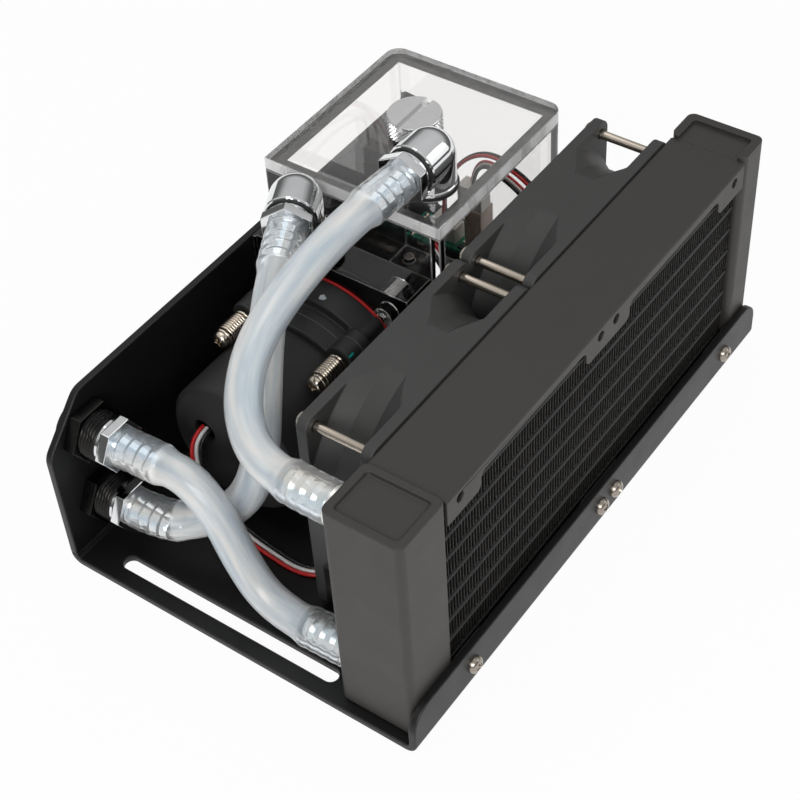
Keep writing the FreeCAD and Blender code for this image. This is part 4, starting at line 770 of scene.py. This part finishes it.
def make_fasteners():
    """Screws turned each its own way, springs and inserts, in their sets."""
    lip = pan_screw(length=4.7, threaded=4.4)
    piece("lip_screw_set", [moved(lip, towards(-Y, (x, LIP_FACE, FAN_ROWS[0]), 0.3 + index))
                            for index, x in enumerate(FAN_XS)], "nickel", ["lip_screws"],
          look=LOOKS["lip_steel"])
    long = pan_screw(length=27.2, threaded=6.0)
    piece("fan_screw_set", [moved(long, towards(Y, (x, FAN_BACK, z), 0.5 * index + z))
                            for index, x in enumerate(FAN_XS) for z in FAN_ROWS], "nickel", ["fan_screws"])
    spring_screw = pan_screw(length=44.8, threaded=12.0)
    piece("spring_screw_set", [moved(spring_screw, towards(-X, (SPRING_LEFT, y, z), y)) for y, z in EARS],
          "nickel", ["spring_screws"])
    spring = coil(turns=9.5, radius=2.95, wire=1.05, length=SPRING_RIGHT - SPRING_LEFT)
    piece("pump_spring_set", [moved(spring, towards(X, (SPRING_LEFT, y, z), z)) for y, z in EARS],
          "nickel", ["pump_springs"], sharp=60)
    nut = insert()
    piece("insert_nut_set", [moved(nut, towards(X, (INSERT_LEFT, y, z))) for y, z in EARS], "nickel",
          ["insert_nuts"], look=LOOKS["insert_zinc"])
    sunk = sunk_screw()
    piece("tank_screw_set", [moved(sunk, towards(-Z, (x, y, 0.0), x)) for x, y in TANK_SCREWS],
          "nickel", ["tank_screws"])


# Couplings, elbows and the fill plug

def make_couplings():
    """Threaded couplings: flange and port outside the wall, thread inside it, zero at the port's mouth."""
    length, passage, port, pitch = 13.6, 3.0, 12.0, 1.15
    inside = thread(6.25, start=11.6, end=0.5, depth=0.52, pitch=1.3)
    bore = [(passage, length), (passage, port), (5.73, port)] + inside
    mouth = [(6.5, 0.0)]
    flange = [(9.1, 0.0), (9.4, 0.3), (9.4, 0.8), (7.4, 0.8)]
    outside = thread(8.0, start=1.0, end=13.2, depth=0.6, pitch=pitch) + [(7.2, length), (passage, length)]
    for word in ("upper", "lower"):
        node = "bulkhead_" + word
        spot = (COUPLING_X, corners_of(node)[1].y, middle_of(node).z)
        shape = moved(lathe(bore + mouth + flange + outside, 72, pitch), towards(-Y, spot))
        piece("coupling_" + word, [shape], "coupling_black", [node])


PLUG_PITCH = 1.337
PLUG_SHANK = 8.0
PLUG_HEAD = 6.5
ELBOW_RADIUS = 8.45
ELBOW_RISE = 10.3
ELBOW_REACH = 9.2
ELBOW_FEET = {"lid": (23.7, 11.65, 88.9), "outlet": (-2.6, 43.45, 75.8)}
ELBOW_TURNS = {"lid": 180, "outlet": 207}


def dome(centre):
    """The last rings of a lathe profile: a half ball about a height on its axis."""
    steps = 12
    turns = [math.pi / 2 * step / steps for step in range(steps)]
    return [(ELBOW_RADIUS * math.cos(turn), centre + ELBOW_RADIUS * math.sin(turn)) for turn in turns] \
        + [(0, centre + ELBOW_RADIUS)]


def make_elbows():
    """Polished elbows: a column and an arm of one radius that meet in a ball."""
    pitch = 0.9
    foot_thread = thread(6.4, start=-3.8, end=-0.4, depth=0.3, pitch=pitch)
    column = [(0, -4.3), (5.6, -4.3), (6.2, -3.9)] + foot_thread + [
        (6.0, 0.0), (8.55, 0.0), (8.75, 0.2), (8.75, 1.1), (8.55, 1.3), (ELBOW_RADIUS, 1.4)]
    arm = [(0, -ELBOW_REACH), (7.7, -ELBOW_REACH), (8.2, -ELBOW_REACH + 0.25),
           (ELBOW_RADIUS, -ELBOW_REACH + 0.7)]
    shapes = (lathe(column + dome(ELBOW_RISE), 72, pitch), lathe(arm + dome(0), 72))
    for word, spot in ELBOW_FEET.items():
        foot = Matrix.Translation(spot)
        turn = math.radians(ELBOW_TURNS[word])
        heading = Vector((math.cos(turn), math.sin(turn), 0))
        corner = Vector(spot) + Z * ELBOW_RISE
        piece(word + "_elbow_polished", [moved(shapes[0], foot), moved(shapes[1], towards(-heading, corner))],
              "chrome", [word + "_elbow"], sharp=25)


def make_plug():
    """The fill plug: a slotted head with a crossed knurl round its side, over a threaded shank."""
    teeth, rows, tooth = 40, 8, 0.75
    screw = thread(6.4, start=-7.6, end=-0.5, depth=0.35, pitch=PLUG_PITCH)
    shank = [(0, -PLUG_SHANK), (5.8, -PLUG_SHANK)] + screw + [(6.0, 0)]
    rim = [(8.25, 5.9), (8.75, 6.1), (8.75, 6.3), (8.55, PLUG_HEAD), (0, PLUG_HEAD)]
    head = [(8.2, 0), (8.2, 0.3)] + knurl(9.05, 0.3, 5.9, rows, tooth, crossed=True) + rim
    slot_half, slot_floor, beyond = 1.2, 4.5, 12
    slot = block((-beyond, -slot_half, slot_floor), (beyond, slot_half, beyond))
    shape = carved(pyramids(lathe(shank + head, 2 * teeth, PLUG_PITCH)), slot)
    seat = middle_of("fill_plug")
    seat.z = corners_of("fill_plug")[0].z + PLUG_SHANK
    piece("fill_plug_knurled", [moved(shape, Matrix.Translation(seat))], "chrome", ["fill_plug"],
          body="plug", sharp=15, look=LOOKS["plug_satin"])


# Radiator core

def folded(path, half, front, back):
    """A sheet of even thickness folded at right angles along a path of (x, z), from front to back in y."""
    headings = [(after - before).normalized() for before, after in zip(path, path[1:])]
    sides = [Vector((-heading.y, heading.x)) * half for heading in headings]
    shifts = [sides[0]] + [one + other for one, other in zip(sides, sides[1:])] + [sides[-1]]
    points = [(spot.x, y, spot.y) for middle, shift in zip(path, shifts)
              for spot in (middle + shift, middle - shift) for y in (front, back)]
    faces = [[0, 1, 3, 2], [len(points) - corner for corner in (4, 2, 1, 3)]]
    for first in range(0, len(points) - 4, 4):
        faces += [[first + low, first + low + 4, first + high + 4, first + high]
                  for low, high in ((0, 1), (1, 3), (3, 2), (2, 0))]
    return points, faces


def make_fins():
    """Finely folded strips between the flat tubes, in the space that the plain strips hold."""
    low, high = corners_of("radiator_fins")
    rows, tube_height, spacing, half_sheet = 9, 2.0, 1.4, 0.09
    height = (high.z - low.z - (rows - 1) * tube_height) / rows
    legs = round((high.x - low.x) / spacing)
    step = (high.x - low.x - 2 * half_sheet) / (legs - 1)
    shapes = []
    for row in range(rows):
        floor = low.z + row * (height + tube_height)
        levels = (floor + half_sheet, floor + height - half_sheet)
        path = []
        for leg in range(legs):
            x = low.x + half_sheet + leg * step
            path += [Vector((x, levels[leg % 2])), Vector((x, levels[1 - leg % 2]))]
        shapes.append(folded(path, half_sheet, low.y, high.y))
    piece("fin_strips", shapes, "core_black", ["radiator_fins"], sharp=20, look=LOOKS["fin_black"])


# Control board

def make_board_parts():
    """Small generic components on the board, and marks on the beige block."""
    low, high = corners_of("control_board")
    x, y, z = low.x, low.y, high.z
    chips = [block((x + 2.2, y + 20.5, z), (x + 7.8, y + 25.5, z + 1.3)),
             block((x + 0.8, y + 9.2, z), (x + 3.0, y + 11.6, z + 0.9))]
    piece("board_chips", chips, "clamp_black", bevel=0.15)
    legs = [block((left, front, z), (left + 0.7, front + 0.5, z + 0.5)) for left in (x + 1.5, x + 7.8)
            for front in (y + 21.0, y + 22.2, y + 23.4, y + 24.6)]
    small = [block((left, y + 9.4, z), (left + 1.0, y + 11.4, z + 0.6))
             for left in (x + 4.4, x + 6.1, x + 7.8)]
    joint = lathe([(0, 0.7), (0.5, 0.5), (0.9, 0), (0, 0)], 16)
    joints = [moved(joint, towards(Z, (x + 1.4 + 1.8 * step, y + 27.0, z))) for step in range(5)]
    piece("board_metal", legs + small + joints, "nickel")
    tower_low, tower_high = corners_of("board_block")
    ribs = [block((tower_low.x - 0.12, tower_low.y + 1.0 + 1.3 * step, tower_low.z + 1.0),
                  (tower_low.x, tower_low.y + 1.5 + 1.3 * step, tower_high.z - 1.0)) for step in range(5)]
    piece("block_ribs", ribs, "board_beige", bevel=0.05)


# Marks on the pump: two dabs of paint, and the parting line of the clamp ring drawn lighter as a painted
# highlight

SEAM_X = -20.2
SEAM_HALF = 0.2
SEAM_HEIGHT = 0.12
RING_RADIUS = 26.38
EAR_RADIUS = 4.98
DAB_LEVELS = (-0.05, 0.08)


def dab(radius, turn, axis, x, outline):
    """A flat patch lying on a cylinder along X, its outline given along the axis and round it."""
    along = Vector((0, math.cos(math.radians(turn)), math.sin(math.radians(turn))))
    spot = Vector((x, *axis)) + along * radius
    return moved(prism(outline, *DAB_LEVELS), towards(along, spot))


def make_marks():
    seam = []
    for radius, axis in [(RING_RADIUS, PUMP_AXIS)] + [(EAR_RADIUS, ear) for ear in EARS]:
        foot = (radius, -SEAM_HALF)
        ring = lathe([foot, (radius + SEAM_HEIGHT, 0), (radius, SEAM_HALF), foot], 96)
        seam.append(moved(ring, towards(X, (SEAM_X, *axis))))
    # The parting line is drawn a lighter grey than the clamp: a painted highlight
    piece("clamp_seam", seam, "clamp_black", look=LOOKS["seam_highlight_grey"])
    corners = 18
    turns = [2 * math.pi * step / corners for step in range(corners)]
    wobble = [1.1 + 0.12 * math.sin(3 * turn) + 0.1 * math.sin(5 * turn + 1) for turn in turns]
    rounds = [(reach * math.cos(turn), reach * math.sin(turn)) for reach, turn in zip(wobble, turns)]
    white = dab(radius=29.5, turn=95.8, axis=PUMP_AXIS, x=-13.1, outline=rounds)
    piece("white_dab", [white], "connector_white", look=LOOKS["white_paint"])
    stroke = [(1.2 * math.cos(turn), 0.4 * math.sin(turn)) for turn in turns]
    teal = dab(radius=5.0, turn=139.0, axis=EARS[1], x=-24.8, outline=stroke)
    piece("teal_dab", [teal], "connector_white", look=LOOKS["teal_paint"])


# Camera, light and floor

CAMERA_SPOT = (-321.80, -241.17, 432.43)
CAMERA_ANGLES = (44.272, 2.860, -54.884)
FOCAL_PIXELS = 1788.95
PICTURE_PIXELS = 800
SENSOR = 36.0
ROOM_SHADES = ((0.0, 0.10), (0.25, 0.16), (0.5, 0.52), (1.0, 0.70))
FLOOR_HALF = 3.0
FLOOR_LEVEL = -0.0002
FLOOR_GLOW = 0.95


def make_camera():
    """The photograph's viewpoint, fitted to screw places seen in it."""
    data = bpy.data.cameras.new("Camera")
    data.sensor_width = SENSOR
    data.lens = FOCAL_PIXELS * SENSOR / PICTURE_PIXELS
    data.clip_start, data.clip_end = 0.01, 20
    item = bpy.data.objects.new("Camera", data)
    bpy.context.scene.collection.objects.link(item)
    item.location = Vector(CAMERA_SPOT) * MM
    item.rotation_euler = [math.radians(angle) for angle in CAMERA_ANGLES]
    bpy.context.scene.camera = item


def lamp(name, spot, aim, size, power):
    """A flat light at a spot that faces its aim, in metres and watts."""
    data = bpy.data.lights.new(name, "AREA")
    data.shape = "RECTANGLE"
    data.size, data.size_y = size
    data.energy = power
    item = bpy.data.objects.new(name, data)
    bpy.context.scene.collection.objects.link(item)
    item.location = spot
    item.rotation_euler = (Vector(aim) - Vector(spot)).to_track_quat("-Z", "Y").to_euler()


def shown_share(tree, others):
    """1 for rays that show the background: straight from the camera, and of the other kinds named."""
    path = tree.nodes.new("ShaderNodeLightPath")
    total = path.outputs["Is Camera Ray"]
    for word in others:
        node = tree.nodes.new("ShaderNodeMath")
        node.use_clamp = True
        tree.links.new(total, node.inputs[0])
        tree.links.new(path.outputs[word], node.inputs[1])
        total = node.outputs[0]
    return total


def make_world():
    """A grey room, lighter overhead, that shows white behind the object and through clear pieces."""
    world = bpy.data.worlds.new("Studio")
    world.use_nodes = True
    tree = world.node_tree
    bpy.context.scene.world = world
    room = tree.nodes["Background"]
    spot = tree.nodes.new("ShaderNodeTexCoord")
    height = tree.nodes.new("ShaderNodeSeparateXYZ")
    dome = tree.nodes.new("ShaderNodeValToRGB")
    tree.links.new(spot.outputs["Generated"], height.inputs[0])
    tree.links.new(height.outputs["Z"], dome.inputs[0])
    tree.links.new(dome.outputs[0], room.inputs["Color"])
    for _ in ROOM_SHADES[2:]:
        dome.color_ramp.elements.new(0.5)
    for element, (level, shade) in zip(dome.color_ramp.elements, ROOM_SHADES):
        element.position = level
        element.color = (shade, shade, shade, 1)
    white = tree.nodes.new("ShaderNodeBackground")
    both = tree.nodes.new("ShaderNodeMixShader")
    tree.links.new(shown_share(tree, ("Is Transmission Ray",)), both.inputs[0])
    tree.links.new(room.outputs[0], both.inputs[1])
    tree.links.new(white.outputs[0], both.inputs[2])
    tree.links.new(both.outputs[0], tree.nodes["World Output"].inputs["Surface"])


def make_floor():
    """A pale floor that shows near white and keeps a soft shadow."""
    points = [(x * FLOOR_HALF, y * FLOOR_HALF, FLOOR_LEVEL) for x, y in ((-1, -1), (1, -1), (1, 1), (-1, 1))]
    mesh = bpy.data.meshes.new("floor")
    mesh.from_pydata(points, [], [[0, 1, 2, 3]])
    item = bpy.data.objects.new("floor", mesh)
    bpy.context.scene.collection.objects.link(item)
    material = bpy.data.materials.new("floor")
    material.use_nodes = True
    tree = material.node_tree
    shader = tree.nodes["Principled BSDF"]
    shader.inputs["Base Color"].default_value = (0.86, 0.86, 0.86, 1)
    shader.inputs["Roughness"].default_value = 0.9
    glow = tree.nodes.new("ShaderNodeEmission")
    share = tree.nodes.new("ShaderNodeMath")
    share.operation = "MULTIPLY"
    share.inputs[1].default_value = FLOOR_GLOW
    both = tree.nodes.new("ShaderNodeMixShader")
    tree.links.new(shown_share(tree, ("Is Transmission Ray", "Is Glossy Ray")), share.inputs[0])
    tree.links.new(share.outputs[0], both.inputs[0])
    tree.links.new(shader.outputs[0], both.inputs[1])
    tree.links.new(glow.outputs[0], both.inputs[2])
    tree.links.new(both.outputs[0], tree.nodes["Material Output"].inputs["Surface"])
    mesh.materials.append(material)


def make_lights():
    middle = (0.0, 0.0, 0.04)
    lamp("key", (-1.0, -0.55, 0.7), middle, (0.9, 0.7), 9.0)
    lamp("top", (0.15, 0.25, 1.1), middle, (0.8, 0.8), 1.5)
    lamp("fill", (0.7, -0.9, 0.55), middle, (0.7, 0.7), 1.5)


dress_nodes()
make_hoses()
make_wires()
make_fasteners()
make_couplings()
make_elbows()
make_plug()
make_fins()
make_board_parts()
make_marks()
make_camera()
make_lights()
make_world()
make_floor()
bpy.context.scene.view_settings.view_transform = "Standard"
